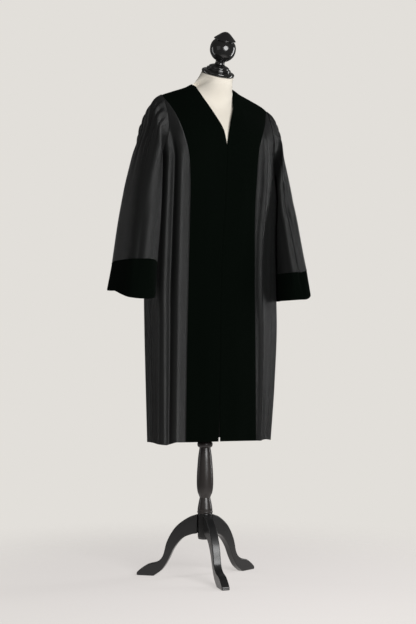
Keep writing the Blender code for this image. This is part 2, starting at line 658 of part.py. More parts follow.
def sleeve_angles():
    """Angles round the sleeve, closer together over the pleated head than underneath."""
    share = np.arange(SLEEVE_COLUMNS) / SLEEVE_COLUMNS
    return 2 * np.pi * (share - 0.055 * np.sin(2 * np.pi * share))


def sleeve(side, rim):
    """Wool sleeve: its first ring is the armhole, and its last meets the cuff."""
    turn, stations = sleeve_angles(), np.array(SLEEVE_ROWS)
    grid_turn, grid_station = np.meshgrid(turn, stations)
    points = limb_section(SLEEVE, grid_station, grid_turn, side)
    front, behind = rim
    share = np.degrees(turn) / 180
    target = np.where(
        (share <= 1)[:, None], along(front, np.clip(share, 0, 1)), along(behind, np.clip(2 - share, 0, 1))
    )
    target[:, 0] += side * ARMHOLE_GAP
    first = points[0].copy()
    hold = 1 - ease(stations, 0.0, 0.30)
    points = points + hold[:, None, None] * (target - first)
    points[1:] = clear_of_body(points[1:], side)
    normals = tube_normals(points) * side
    points = points + normals * pleats_at(grid_turn, grid_station, side)[..., None]
    points[1:] = clear_of_body(points[1:], side)
    normals = tube_normals(points) * side
    normals[0, :, 0] = 0
    normals[0] /= np.linalg.norm(normals[0], axis=-1, keepdims=True)
    return points, points - normals * WALL


def tube_normals(points):
    """Unit normals of a tube of rings, whose last column is followed by its first."""
    down = np.gradient(points, axis=0)
    around = np.roll(points, -1, axis=1) - np.roll(points, 1, axis=1)
    normal = np.cross(down, around)
    return normal / np.linalg.norm(normal, axis=-1, keepdims=True)


def cuff(side, above):
    """Velvet cuff, a shade wider than the sleeve's end that it is sewn to."""
    turn, stations = sleeve_angles(), np.array(CUFF_ROWS)
    grid_turn, grid_station = np.meshgrid(turn, stations)
    points = limb_section(CUFF, grid_station, grid_turn, side)
    points = clear_of_body(points, side)
    points = points + (above - points[0]) * (1 - ease(stations, 0.0, 1.0))[:, None, None]
    normals = tube_normals(points) * side
    points = points + normals * CUFF_PROUD
    points[0, :, 2] = above[:, 2] - SEAM_GAP
    return points, points - normals * (WALL + CUFF_PROUD / 2)


def soft_max(a, b, blend):
    """The larger of two values, with the step between them rounded over `blend`."""
    near = np.clip(blend - np.abs(a - b), 0, None) / blend
    return np.maximum(a, b) + near * near * blend / 4


def torso_outline(height, turn):
    """The dress form's outline at a height: shoulders that carry the robe, and the neck."""
    half, front, behind, power = (
        float(column_of(TORSO, name, height)) for name in Torso._fields[1:]
    )
    seam = [row.height for row in reversed(RIDGE)]
    lifted = height + TORSO_DROP
    reach = float(np.interp(lifted, seam, [row.across for row in reversed(RIDGE)]))
    half = min(half, reach) if lifted < RIDGE[0].height else 0.0
    wide = float(soft_max(half, NECK_RADIUS, NECK_BLEND)) if height > SHOULDERS_FROM else half
    sine, cosine = np.sin(turn), np.cos(turn)
    across = wide * np.sign(sine) * np.abs(sine) ** 0.8
    ratio = np.clip(np.abs(across) / max(half, 1e-6), 0, 1)
    round_front = front * (1 - ratio ** power) ** (1 / power)
    round_back = -behind * (1 - ratio ** power) ** (1 / power)
    near_neck = 1 - ease(np.abs(across), NECK_ROOM_TO, NECK_ROOM_END)
    lifted = lifted + NECK_ROOM * near_neck
    inset = TORSO_INSET + NECK_ROOM / 2 * near_neck
    top_front, top_back = seam_height(across, False), seam_height(across, True)
    station_front = np.clip((top_front - lifted) / (top_front - UNDERARM_HEIGHT), 0, 1)
    station_back = np.clip((top_back - lifted) / (top_back - UNDERARM_HEIGHT), 0, 1)
    robe_front = -garment(angle_at(np.abs(across), station_front), station_front)[:, 1]
    robe_back = -garment(angle_at(np.abs(across), station_back, behind=True), station_back)[:, 1]
    rounding = (1 - np.clip(np.abs(across) / wide, 0, 1) ** 8) ** 0.4
    robe_front = SEAM_FORWARD + (robe_front - inset - SEAM_FORWARD) * rounding
    robe_back = SEAM_FORWARD + (robe_back + inset - SEAM_FORWARD) * rounding
    near_top = float(ease(height, FILLS_ROBE_FROM, FILLS_ROBE_TO))
    front_line = round_front * (1 - near_top) + robe_front * near_top
    back_line = round_back * (1 - near_top) + robe_back * near_top
    if height > NECK_FROM:
        centre = NECK_BASE[0] + (height - NECK_BASE[1]) * math.tan(NECK_LEAN)
        inside = np.clip(1 - (across / NECK_RADIUS) ** 2, 0, None) ** 0.5
        outside = np.clip(np.abs(across) - NECK_RADIUS, 0, None) * 20
        deep = NECK_RADIUS / math.cos(NECK_LEAN)
        front_line = soft_max(front_line, centre + deep * inside - outside, NECK_BLEND)
        back_line = -soft_max(-back_line, -centre + deep * inside - outside, NECK_BLEND)
    forward = np.where(cosine >= 0, front_line, back_line)
    return np.stack([across, -forward, np.full(turn.shape, height)], axis=-1)


def neck_ring(turn, up, radius):
    """A round ring of the neck, square to its leaning axis."""
    axis = np.array([0, -math.sin(NECK_LEAN), math.cos(NECK_LEAN)])
    level = np.array([0, -math.cos(NECK_LEAN), -math.sin(NECK_LEAN)])
    base = np.array([0, -NECK_BASE[0], NECK_BASE[1]])
    spread = np.sin(turn)[:, None] * np.array([1.0, 0, 0]) + np.cos(turn)[:, None] * level
    return base + axis * up + spread * radius


def torso():
    """The dress form from hips to neck, closed top and bottom."""
    turn = 2 * np.pi * np.arange(TORSO_COLUMNS) / TORSO_COLUMNS
    heights = [
        0.860, 0.872, 0.93, 1.02, 1.13, 1.24, 1.34, 1.40, 1.45, 1.49, 1.515, 1.535, 1.548,
        1.556, 1.567, 1.577, 1.587, 1.596, 1.603, 1.608,
    ]
    rings = [torso_outline(height, turn) for height in heights]
    rings[0][:, :2] *= 0.95
    last = rings[-1]
    top = neck_ring(turn, NECK_TOP_UP - 0.004, NECK_TOP_RADIUS)
    for share in (0.35, 0.7):
        rings.append(last * (1 - share) + top * share)
    rings += [top, neck_ring(turn, NECK_TOP_UP, NECK_TOP_RADIUS - 0.004)]
    vertices = np.concatenate(rings)
    count, faces = TORSO_COLUMNS, []
    for i in range(len(rings) - 1):
        for j in range(count):
            k = (j + 1) % count
            faces.append((i * count + j, i * count + k, (i + 1) * count + k, (i + 1) * count + j))
    faces.append(tuple(range(count - 1, -1, -1)))
    faces.append(tuple(range((len(rings) - 1) * count, len(rings) * count)))
    return add_object("form_torso", vertices, faces, JERSEY, smooth_below=50)


def turned(name, profile, paint, lean=None):
    """A piece turned on a lathe: its profile is spun round its axis and closed at the ends."""
    shape = bmesh.new()
    corners = [shape.verts.new((turn.radius, 0, turn.height)) for turn in profile]
    foot = shape.verts.new((0, 0, profile[0].height))
    head = shape.verts.new((0, 0, profile[-1].height))
    line = [foot, *corners, head]
    edges = [shape.edges.new(pair) for pair in zip(line, line[1:])]
    bmesh.ops.spin(
        shape, geom=line + edges, cent=(0, 0, 0), axis=(0, 0, 1), angle=2 * math.pi,
        steps=TURN_STEPS, use_merge=True,
    )
    bmesh.ops.remove_doubles(shape, verts=shape.verts, dist=1e-5)
    bmesh.ops.recalc_face_normals(shape, faces=shape.faces)
    mesh = bpy.data.meshes.new(name)
    shape.to_mesh(mesh)
    shape.free()
    mesh.shade_smooth()
    mesh.set_sharp_from_angle(angle=math.radians(35))
    mesh.materials.append(paint)
    made = bpy.data.objects.new(name, mesh)
    bpy.context.scene.collection.objects.link(made)
    if lean is not None:
        made.location, made.rotation_euler = lean
    return made


def bent_line(points, steps):
    """A smooth line through a few points, with `steps` stretches between each two."""
    points = np.array(points)
    before = np.vstack([2 * points[0] - points[1], points, 2 * points[-1] - points[-2]])
    line = []
    for a, b, c, d in zip(before, before[1:], before[2:], before[3:]):
        for t in np.arange(steps) / steps:
            line.append(0.5 * (
                2 * b + (c - a) * t + (2 * a - 5 * b + 4 * c - d) * t**2
                + (3 * b - a - 3 * c + d) * t**3
            ))
    return np.array(line + [points[-1]])


def leg(number):
    """One bent leg cut from a board, with its edges rounded."""
    outline = np.vstack([bent_line(LEG_TOP, 2), LEG_UNDER[:2], bent_line(LEG_UNDER[1:], 2)[1:]])
    count = len(outline)
    turn = LEG_TURN + number * math.tau / 3
    out = np.array([-math.sin(turn), -math.cos(turn), 0])
    beside = np.array([-out[1], out[0], 0])
    flat = outline[:, :1] * out + outline[:, 1:] * np.array([0, 0, 1.0])
    vertices = np.vstack([flat - beside * LEG_WIDTH / 2, flat + beside * LEG_WIDTH / 2])
    faces = [tuple(range(count)), tuple(range(2 * count - 1, count - 1, -1))]
    for i in range(count):
        k = (i + 1) % count
        faces.append((i, count + i, count + k, k))
    made = add_object(f"leg_{number + 1}", vertices, faces, LACQUER)
    rounding = made.modifiers.new("rounded_edges", "BEVEL")
    rounding.width = 0.0035
    rounding.segments = 2
    rounding.limit_method = "ANGLE"
    rounding.angle_limit = math.radians(60)
    return made


def centre_over_origin():
    """Moves every piece sideways, so that the middle of the whole stands over the origin."""
    bpy.context.view_layer.update()
    graph = bpy.context.evaluated_depsgraph_get()
    corners = []
    for piece in bpy.context.scene.objects:
        ready = piece.evaluated_get(graph)
        corners += [ready.matrix_world @ Vector(corner) for corner in ready.bound_box]
    middle = (np.max(corners, axis=0) + np.min(corners, axis=0)) / 2
    for piece in bpy.context.scene.objects:
        piece.location.x -= middle[0]
        piece.location.y -= middle[1]


yoke_points = panel("back_yoke", yoke(), VELVET, seam_side=-1)[0]
back_points = panel("back", back(), WOOL)[0]
for word, side in (("right", -1), ("left", 1)):
    velvet_points = panel(f"velvet_front_{word}", velvet_front(side), VELVET, seam_side=1)[0]
    side_points = panel(f"side_front_{word}", side_front(side), WOOL)[0]
    rim = armhole_rim(side, (velvet_points, side_points), yoke_points, back_points)
    sleeve_outer, sleeve_inner = sleeve(side, rim)
    cloth(f"sleeve_{word}", sleeve_outer, sleeve_inner, WOOL, round_tube=True)
    cuff_outer, cuff_inner = cuff(side, sleeve_outer[-1])
    cloth(f"cuff_{word}", cuff_outer, cuff_inner, VELVET, round_tube=True)

torso()
neck_top = neck_ring(np.zeros(1), NECK_TOP_UP + 0.0003, 0.0)[0]
leaning = (tuple(neck_top), (NECK_LEAN, 0, 0))
turned("neck_cap", CAP, LACQUER, leaning)
turned("finial", FINIAL, LACQUER, leaning)
pole_foot, pole_head = BEAD_TOP + 0.0003, TORSO[0].height - 0.0003
turned("pole", [Turn(POLE_RADIUS, pole_foot), Turn(POLE_RADIUS, pole_head)], DARK_WOOD)
turned("column", COLUMN, DARK_WOOD)
turned("hub", HUB, LACQUER)
for number in range(3):
    leg(number)
centre_over_origin()
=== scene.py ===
"""The looks of a prosecutor's robe on its dress form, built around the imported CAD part.

Lengths are in metres. The robe faces -Y, and the stand's pole is beside the origin, so each
piece is worked out round the pole and then moved to it.
"""

import math
from collections import namedtuple

import bpy
import numpy as np
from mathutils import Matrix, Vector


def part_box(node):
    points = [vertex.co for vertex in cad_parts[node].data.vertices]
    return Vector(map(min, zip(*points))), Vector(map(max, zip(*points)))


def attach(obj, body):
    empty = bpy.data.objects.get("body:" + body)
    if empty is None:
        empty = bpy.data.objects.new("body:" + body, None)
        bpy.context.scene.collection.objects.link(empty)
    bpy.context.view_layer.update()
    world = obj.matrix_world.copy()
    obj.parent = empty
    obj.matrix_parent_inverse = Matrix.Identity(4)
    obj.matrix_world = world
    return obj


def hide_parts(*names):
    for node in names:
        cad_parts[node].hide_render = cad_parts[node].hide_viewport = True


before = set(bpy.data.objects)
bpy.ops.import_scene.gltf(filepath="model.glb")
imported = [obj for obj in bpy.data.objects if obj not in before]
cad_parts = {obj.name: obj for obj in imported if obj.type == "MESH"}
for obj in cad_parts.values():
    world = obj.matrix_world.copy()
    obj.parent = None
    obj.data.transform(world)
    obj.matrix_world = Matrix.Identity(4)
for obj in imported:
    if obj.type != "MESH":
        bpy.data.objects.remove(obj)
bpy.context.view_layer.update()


# The robe's hang. All its panels lie on one surface, given by an angle round the body and a
# station down it: 0 on the shoulder seams, 1 at the underarm, 2 at the hem. It closes up to
# the shoulder seams and falls in soft troughs and ridges, deepest on the wool.
POLE = np.mean(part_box("column"), axis=0) * np.array([1.0, 1.0, 0.0])
HEM_HEIGHT = 0.450
UNDERARM_HEIGHT = 1.360
ARMHOLE_ACROSS = {-1: 0.186, 1: 0.212}
NECK_POINT_ACROSS = 0.075
SEAM_FORWARD = 0.045
V_STATION = 0.83
YOKE_HEIGHT = 1.500
CLOTH = 0.0016
Ridge = namedtuple("Ridge", "across height")
RIDGE = [
    Ridge(0.000, 1.630), Ridge(0.075, 1.612), Ridge(0.100, 1.599), Ridge(0.150, 1.580),
    Ridge(0.200, 1.559), Ridge(0.222, 1.541), Ridge(0.244, 1.522),
]
NAPE_RISE = 0.050
NAPE_STATION = 0.13
Girth = namedtuple("Girth", "station wearers_right wearers_left front back power")
GIRTHS = [
    Girth(0.00, 0.262, 0.262, 0.146, 0.118, 2.4), Girth(0.45, 0.250, 0.250, 0.147, 0.119, 2.6),
    Girth(0.80, 0.222, 0.228, 0.145, 0.116, 3.2), Girth(1.00, 0.207, 0.221, 0.141, 0.110, 3.8),
    Girth(1.13, 0.205, 0.236, 0.130, 0.105, 3.4), Girth(1.30, 0.205, 0.241, 0.119, 0.103, 3.0),
    Girth(1.46, 0.206, 0.245, 0.114, 0.105, 2.8), Girth(1.58, 0.203, 0.248, 0.112, 0.106, 2.8),
    Girth(1.80, 0.199, 0.239, 0.109, 0.099, 2.8), Girth(2.00, 0.196, 0.224, 0.107, 0.091, 2.8),
]
Swell = namedtuple("Swell", "station share")
SWELLS = [
    Swell(0.00, 0.00), Swell(0.03, 0.14), Swell(0.10, 0.29), Swell(0.24, 0.49),
    Swell(0.34, 0.64), Swell(0.50, 0.83), Swell(0.66, 0.96), Swell(0.82, 0.99), Swell(1.00, 1.00),
]
Fold = namedtuple("Fold", "angle waist_angle hem_angle start full depth half_width")
WAIST_STATION = 1.25  # where a fold is at its waist_angle
FOLDS = [
    Fold(-42, -50.5, -58, 0.25, 0.95, -0.009, 5.6), Fold(-31, -38, -45, 0.70, 1.15, 0.002, 6.0),
    Fold(-56, -64, -75, 0.70, 1.05, 0.004, 6.5), Fold(-96, -98, -104, 1.15, 1.60, 0.005, 5.0),
    Fold(37, 29.5, 37, 0.40, 0.95, 0.006, 3.2), Fold(49, 41, 48, 0.30, 0.80, -0.004, 7.0),
    Fold(70, 70, 71, 0.95, 1.15, 0.010, 7.5), Fold(118, 116, 112, 0.85, 1.20, -0.009, 5.0),
    Fold(132, 129, 126, 0.60, 1.15, 0.008, 5.0), Fold(144, 142, 140, 0.50, 1.00, -0.010, 4.5),
    Fold(155, 155, 154, 0.45, 0.95, 0.008, 4.5), Fold(166, 166, 167, 0.50, 1.05, -0.009, 4.0),
    Fold(-176, -175, -174, 0.45, 1.00, 0.009, 5.0), Fold(-164, -163, -162, 0.50, 0.95, -0.010, 4.5),
    Fold(-152, -151, -149, 0.45, 1.05, 0.008, 5.0), Fold(-140, -137, -134, 0.55, 1.00, -0.009, 4.5),
    Fold(-127, -125, -121, 0.70, 1.15, 0.008, 5.5),
]
CREASES = [
    Fold(-42, -50.5, -58, 0.15, 0.60, -0.0012, 3.0), Fold(-91, -93, -97, 1.00, 1.22, 0.0024, 2.4),
    Fold(-84, -86, -88, 1.05, 1.24, -0.0014, 2.6), Fold(-66, -70, -79, 0.95, 1.20, 0.0008, 5.0),
    Fold(-8, -9, -10, 0.90, 1.20, 0.0009, 4.0), Fold(6, 7, 8, 0.90, 1.20, 0.0010, 4.0),
    Fold(17, 18, 20, 0.90, 1.20, -0.0008, 5.0), Fold(-20, -22, -24, 0.90, 1.20, -0.0008, 5.0),
    Fold(38, 30.5, 38, 0.30, 0.80, 0.0016, 1.8), Fold(80, 81, 84, 0.80, 1.10, -0.0020, 3.0),
    Fold(92, 94, 98, 1.00, 1.22, 0.0020, 3.2), Fold(108, 106, 103, 1.00, 1.20, -0.0026, 3.0),
    Fold(-114, -113, -112, 0.95, 1.20, -0.0030, 3.0), Fold(125, 122, 119, 0.70, 1.20, 0.0022, 2.4),
    Fold(138, 136, 133, 0.55, 1.05, -0.0024, 2.2), Fold(149, 148, 147, 0.50, 0.95, 0.0022, 2.2),
    Fold(161, 161, 160, 0.50, 1.00, -0.0024, 2.2), Fold(172, 172, 173, 0.50, 1.10, 0.0024, 2.2),
    Fold(-170, -169, -168, 0.50, 1.00, -0.0022, 2.2), Fold(-158, -157, -156, 0.50, 1.00, 0.0022, 2.2),
    Fold(-146, -144, -141, 0.55, 1.10, -0.0022, 2.4), Fold(-133, -131, -127, 0.65, 1.15, 0.0024, 2.6),
    Fold(-104, -103, -100, 1.05, 1.22, 0.0024, 3.0),
]
Hem = namedtuple("Hem", "angle rise")
HEM_RISES = [
    Hem(-180, 0.004), Hem(-130, 0.002), Hem(-95, 0.003), Hem(-62, -0.003), Hem(-45, 0.007),
    Hem(0, 0.006), Hem(36, 0.002), Hem(55, 0.004), Hem(72, -0.001), Hem(110, 0.003),
    Hem(180, 0.004),
]
GATHER_COUNT = 46
GATHER_HEIGHT = 0.0022
GATHER_WANDER = 0.8
GATHER_WANDER_COUNT = 9


def curve_through(xs, ys, at):
    """A smooth curve through the points (xs, ys) that never overshoots them, read at `at`.

    Each point's slope is the harmonic mean of the slopes of the stretches on its two sides,
    or zero at a peak, and a cubic joins the points.
    """
    xs, ys = np.asarray(xs, float), np.asarray(ys, float)
    at = np.clip(np.asarray(at, float), xs[0], xs[-1])
    step = np.diff(xs)
    rise = np.diff(ys) / step
    slope = np.zeros(len(xs))
    slope[0], slope[-1] = rise[0], rise[-1]
    same_way = rise[:-1] * rise[1:] > 0
    both = np.where(same_way, rise[:-1] + rise[1:], 1.0)
    slope[1:-1] = np.where(same_way, 2 * rise[:-1] * rise[1:] / both, 0.0)
    k = np.clip(np.searchsorted(xs, at, side="right") - 1, 0, len(step) - 1)
    t = (at - xs[k]) / step[k]
    start = ys[k] * (1 + 2 * t) * (1 - t) ** 2 + slope[k] * step[k] * t * (1 - t) ** 2
    return start + ys[k + 1] * t * t * (3 - 2 * t) - slope[k + 1] * step[k] * t * t * (1 - t)


def column_of(table, name, at):
    """One named column of a table, read at the given values of its first column."""
    return curve_through([row[0] for row in table], [getattr(row, name) for row in table], at)


def ease(x, start, end):
    """0 before start, 1 after end, and an even rise with level ends between them."""
    t = np.clip((np.asarray(x, float) - start) / (end - start), 0, 1)
    return t * t * (3 - 2 * t)


def half_width(station, wearers_left):
    """Half the width of the body at a station, on the wearer's left or right."""
    left = column_of(GIRTHS, "wearers_left", station)
    return np.where(wearers_left, left, column_of(GIRTHS, "wearers_right", station))


def seam_height(across, behind):
    """Height of the shoulder seam, which rises behind the neck to the nape."""
    across = np.abs(across)
    rise = np.clip(1 - (across / NECK_POINT_ACROSS) ** 2, 0, None) ** 2 * NAPE_RISE
    return column_of(RIDGE, "height", across) + np.where(behind, rise, 0.0)


def push_of(folds, angle, station):
    """How far folds push the surface out: each is a bell-shaped ridge or trough."""
    push = np.zeros(angle.shape)
    for fold in folds:
        middle = np.interp(station, [fold.start, WAIST_STATION, 2.0], fold[:3])
        off = (angle - middle + 180) % 360 - 180
        bell = np.exp(-((off / fold.half_width) ** 2))
        push = push + fold.depth * ease(station, fold.start, fold.full) * bell
    return push


def garment(angle, station, creased=True):
    """Point of the robe's outer surface at an angle round the body and a station down it."""
    angle = np.asarray(angle, float)
    station = np.broadcast_to(np.asarray(station, float), angle.shape)
    side = np.where(angle < 0, -1.0, 1.0)
    turn = np.radians(np.abs(angle))
    power = column_of(GIRTHS, "power", station)
    wide = half_width(station, side > 0)
    sine = np.clip(np.sin(turn), 0, 1)
    cosine = np.clip(np.abs(np.cos(turn)), 0, 1)
    behind = np.abs(angle) > 90
    deep = np.where(behind, column_of(GIRTHS, "back", station), column_of(GIRTHS, "front", station))
    across = wide * sine ** (2 / power)
    forward = np.where(behind, -1.0, 1.0) * deep * cosine ** (2 / power)
    forward = SEAM_FORWARD + (forward - SEAM_FORWARD) * column_of(SWELLS, "share", station)
    top = seam_height(across, behind)
    height = np.where(
        station < 1,
        top - station * (top - UNDERARM_HEIGHT),
        UNDERARM_HEIGHT - (station - 1) * (UNDERARM_HEIGHT - HEM_HEIGHT),
    )
    rise = np.interp(angle, [row.angle for row in HEM_RISES], [row.rise for row in HEM_RISES])
    height = height + rise * ease(station, 1.2, 2.0)
    push = push_of(FOLDS, angle, station)
    if creased:
        push = push + push_of(CREASES, angle, station)
        wander = GATHER_WANDER * np.sin(np.radians(angle) * GATHER_WANDER_COUNT)
        gathers = np.sin(np.radians(angle) * GATHER_COUNT + wander)
        under_yoke = ease(station, 0.22, 0.32) * (1 - ease(station, 0.40, 0.95))
        push = push + GATHER_HEIGHT * gathers * under_yoke * ease(np.abs(angle), 100, 125)
    lean_across = sine ** (2 - 2 / power) / wide
    lean_forward = cosine ** (2 - 2 / power) / deep
    length = np.sqrt(lean_across ** 2 + lean_forward ** 2)
    across = across + push * lean_across / length
    forward = forward + push * np.where(behind, -1.0, 1.0) * lean_forward / length
    return np.stack([side * across, -forward, height], axis=-1)


# Velvet fronts: two straight-cut bands of black velvet, from the shoulder seam down each side
# of the V to the closure, then edge to edge to the hem, where a short slit opens. They hang
# almost flat, and only the shoulders catch the light.
Edge = namedtuple("Edge", "station wearers_right wearers_left")
V_EDGE = [
    Edge(0.00, 0.0750, 0.0750), Edge(0.05, 0.0700, 0.0675), Edge(0.10, 0.0670, 0.0590),
    Edge(0.165, 0.0615, 0.0545), Edge(0.24, 0.0542, 0.0508), Edge(0.34, 0.0445, 0.0425),
    Edge(0.45, 0.0328, 0.0287), Edge(0.56, 0.0196, 0.0167), Edge(0.67, 0.0087, 0.0075),
    Edge(V_STATION, 0.0, 0.0),
]
VELVET_EDGE = [
    Edge(0.00, 0.1860, 0.2120), Edge(0.05, 0.1840, 0.2050), Edge(0.10, 0.1810, 0.1995),
    Edge(0.165, 0.1750, 0.1935), Edge(0.24, 0.1690, 0.1870), Edge(0.34, 0.1630, 0.1770),
    Edge(0.45, 0.1578, 0.1632), Edge(0.56, 0.1532, 0.1491), Edge(0.67, 0.1486, 0.1370),
    Edge(0.83, 0.1400, 0.1252), Edge(1.00, 0.1320, 0.1205), Edge(1.13, 0.1225, 0.1192),
    Edge(1.36, 0.1198, 0.1256), Edge(1.68, 0.1226, 0.1321), Edge(2.00, 0.1245, 0.1390),
]
Slit = namedtuple("Slit", "station across")
CLOSURE = [
    Slit(V_STATION, 0.0006), Slit(1.00, 0.0012), Slit(1.13, 0.0012), Slit(1.36, -0.0042),
    Slit(1.58, -0.0063), Slit(2.00, -0.0076),
]
SLIT = [Slit(V_STATION, 0.0), Slit(1.50, 0.0), Slit(1.90, 0.0006), Slit(2.00, 0.0030)]
SEAM_GAP = 0.0004
SEAM_TROUGH = 0.0009
SEAM_TROUGH_WIDTH = 0.0022
WORN = {-1: "wearers_right", 1: "wearers_left"}
SIDES = {-1: "right", 1: "left"}


def set_inputs(node, **values):
    """A node with the inputs named set, where each _ stands for a space."""
    for key, value in values.items():
        node.inputs[key.replace("_", " ")].default_value = value
    return node


def principled(name, color, roughness, **inputs):
    """A Principled material, with its nodes and its shader ready for patterns."""
    made = bpy.data.materials.new(name)
    made.use_nodes = True
    shader = made.node_tree.nodes["Principled BSDF"]
    set_inputs(shader, Base_Color=(*color, 1.0), Roughness=roughness, **inputs)
    return made, made.node_tree.nodes, made.node_tree.links, shader


def mottled(nodes, links, shader, input_name, low, high, scale, stretch=(1.0, 1.0, 1.0)):
    """Drives one shader input by noise on Object coordinates, between two values."""
    place = nodes.new("ShaderNodeTexCoord")
    turn = set_inputs(nodes.new("ShaderNodeMapping"), Scale=stretch)
    noise = set_inputs(nodes.new("ShaderNodeTexNoise"), Scale=scale, Detail=4.0)
    links.new(place.outputs["Object"], turn.inputs["Vector"])
    links.new(turn.outputs["Vector"], noise.inputs["Vector"])
    if isinstance(low, tuple):
        mix = nodes.new("ShaderNodeMix")
        mix.data_type = "RGBA"
        set_inputs(mix, A=(*low, 1.0), B=(*high, 1.0))
        links.new(noise.outputs["Fac"], mix.inputs["Factor"])
        links.new(mix.outputs["Result"], shader.inputs[input_name])
    else:
        ranged = nodes.new("ShaderNodeMapRange")
        set_inputs(ranged, From_Min=0.3, From_Max=0.7, To_Min=low, To_Max=high)
        links.new(noise.outputs["Fac"], ranged.inputs["Value"])
        links.new(ranged.outputs["Result"], shader.inputs[input_name])


def bumped(nodes, links, shader, scale, height, strength=1.0, weave=0.0):
    """A fine raised grain: noise, and where weave is over 0 the slanting lines of a twill."""
    place = nodes.new("ShaderNodeTexCoord")
    noise = set_inputs(nodes.new("ShaderNodeTexNoise"), Scale=scale, Detail=3.0)
    links.new(place.outputs["Object"], noise.inputs["Vector"])
    bump = set_inputs(nodes.new("ShaderNodeBump"), Distance=height, Strength=strength)
    source = noise.outputs["Fac"]
    if weave:
        lines = nodes.new("ShaderNodeTexWave")
        lines.bands_direction = "DIAGONAL"
        set_inputs(lines, Scale=weave, Distortion=0.6)
        both = nodes.new("ShaderNodeMath")
        both.operation = "ADD"
        links.new(place.outputs["Object"], lines.inputs["Vector"])
        links.new(lines.outputs["Fac"], both.inputs[0])
        links.new(source, both.inputs[1])
        source = both.outputs["Value"]
    links.new(source, bump.inputs["Height"])
    links.new(bump.outputs["Normal"], shader.inputs["Normal"])


VELVET, nodes, links, shader = principled(
    "velvet_pile", (0.0012, 0.0024, 0.0015), 0.9, Specular_IOR_Level=0.02,
    Sheen_Weight=0.015, Sheen_Roughness=0.35, Sheen_Tint=(0.75, 0.90, 0.82, 1.0),
)
mottled(
    nodes, links, shader, "Base Color",
    (0.0009, 0.0020, 0.0012), (0.0017, 0.0030, 0.0020), 9.0, (1.0, 1.0, 0.15),
)
bumped(nodes, links, shader, 1500.0, 0.0004)


def linked(name, data):
    """An object made from its data and linked into the scene."""
    made = bpy.data.objects.new(name, data)
    bpy.context.scene.collection.objects.link(made)
    return made


def add_piece(name, vertices, faces, paint, smooth_below=40, node=None):
    """A mesh piece of the scene with its faces turned outwards, standing for a CAD node."""
    mesh = bpy.data.meshes.new(name)
    mesh.from_pydata((np.asarray(vertices) + POLE).tolist(), [], faces)
    mesh.validate()
    made = linked(name, mesh)
    bpy.context.view_layer.objects.active = made
    made.select_set(True)
    bpy.ops.object.mode_set(mode="EDIT")
    bpy.ops.mesh.select_all(action="SELECT")
    bpy.ops.mesh.normals_make_consistent(inside=False)
    bpy.ops.object.mode_set(mode="OBJECT")
    made.select_set(False)
    mesh.shade_smooth()
    mesh.set_sharp_from_angle(angle=math.radians(smooth_below))
    mesh.materials.append(paint)
    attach(made, "root")
    if node:
        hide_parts(node)
    return made


def grid_normals(points, round_tube):
    """Unit normals of a grid of points, to the right of its rows as they go down."""
    down = np.gradient(points, axis=0)
    if round_tube:
        around = np.roll(points, -1, axis=1) - np.roll(points, 1, axis=1)
    else:
        around = np.gradient(points, axis=1)
    normal = np.cross(down, around)
    return normal / np.maximum(np.linalg.norm(normal, axis=-1, keepdims=True), 1e-12)


def cloth_faces(rows, columns, round_tube):
    """Faces of a wall between an outer and an inner grid, with a flat edge all round."""
    count = rows * columns
    last = columns if round_tube else columns - 1
    faces = []
    for i in range(rows - 1):
        for j in range(last):
            k = (j + 1) % columns
            a, b = i * columns + j, i * columns + k
            faces.append((a, a + columns, b + columns, b))
            faces.append((count + a, count + b, count + b + columns, count + a + columns))
    for j in range(last):
        k = (j + 1) % columns
        foot = (rows - 1) * columns
        faces.append((j, k, count + k, count + j))
        faces.append((foot + k, foot + j, count + foot + j, count + foot + k))
    if not round_tube:
        for i in range(rows - 1):
            a, d = i * columns, (i + 1) * columns
            b, c = a + columns - 1, d + columns - 1
            faces.append((d, a, count + a, count + d))
            faces.append((b, c, count + c, count + b))
    return faces


def panel(name, place, paint):
    """A cut piece of the body: its edges turn in a little at the seams, in a soft trough."""
    angle, station = place
    points = garment(angle, station)
    normals = grid_normals(points, False)
    outwards = points * np.array([1, 1, 0]) + np.array([0, 0.02, 0])
    if np.sum(normals * outwards) < 0:
        normals = -normals
    along = np.cumsum(np.linalg.norm(np.diff(points, axis=1), axis=-1), axis=1)
    along = np.concatenate([np.zeros((len(points), 1)), along], axis=1)
    from_edge = np.minimum(along, along[:, -1:] - along)
    trough = SEAM_TROUGH * np.exp(-((from_edge / SEAM_TROUGH_WIDTH) ** 2))
    points = points - normals * trough[..., None]
    vertices = np.concatenate([points.reshape(-1, 3), (points - normals * CLOTH).reshape(-1, 3)])
    faces = cloth_faces(*points.shape[:2], False)
    return add_piece(f"{name}_cloth", vertices, faces, paint, node=name)


def spread(count, ends=0.35):
    """Shares from 0 to 1, closer together at both ends."""
    u = np.linspace(0, 1, count)
    return (1 - ends) * u + ends * (0.5 - 0.5 * np.cos(np.pi * u))


def angle_at(across, station, behind=False):
    """The angle round the body of a point this far across it."""
    across = np.asarray(across, float)
    power = column_of(GIRTHS, "power", station)
    ratio = np.clip(np.abs(across) / half_width(station, across > 0), 0, 1)
    angle = np.degrees(np.arcsin(ratio ** (power / 2)))
    return np.where(across < 0, -1.0, 1.0) * (180 - angle if behind else angle)


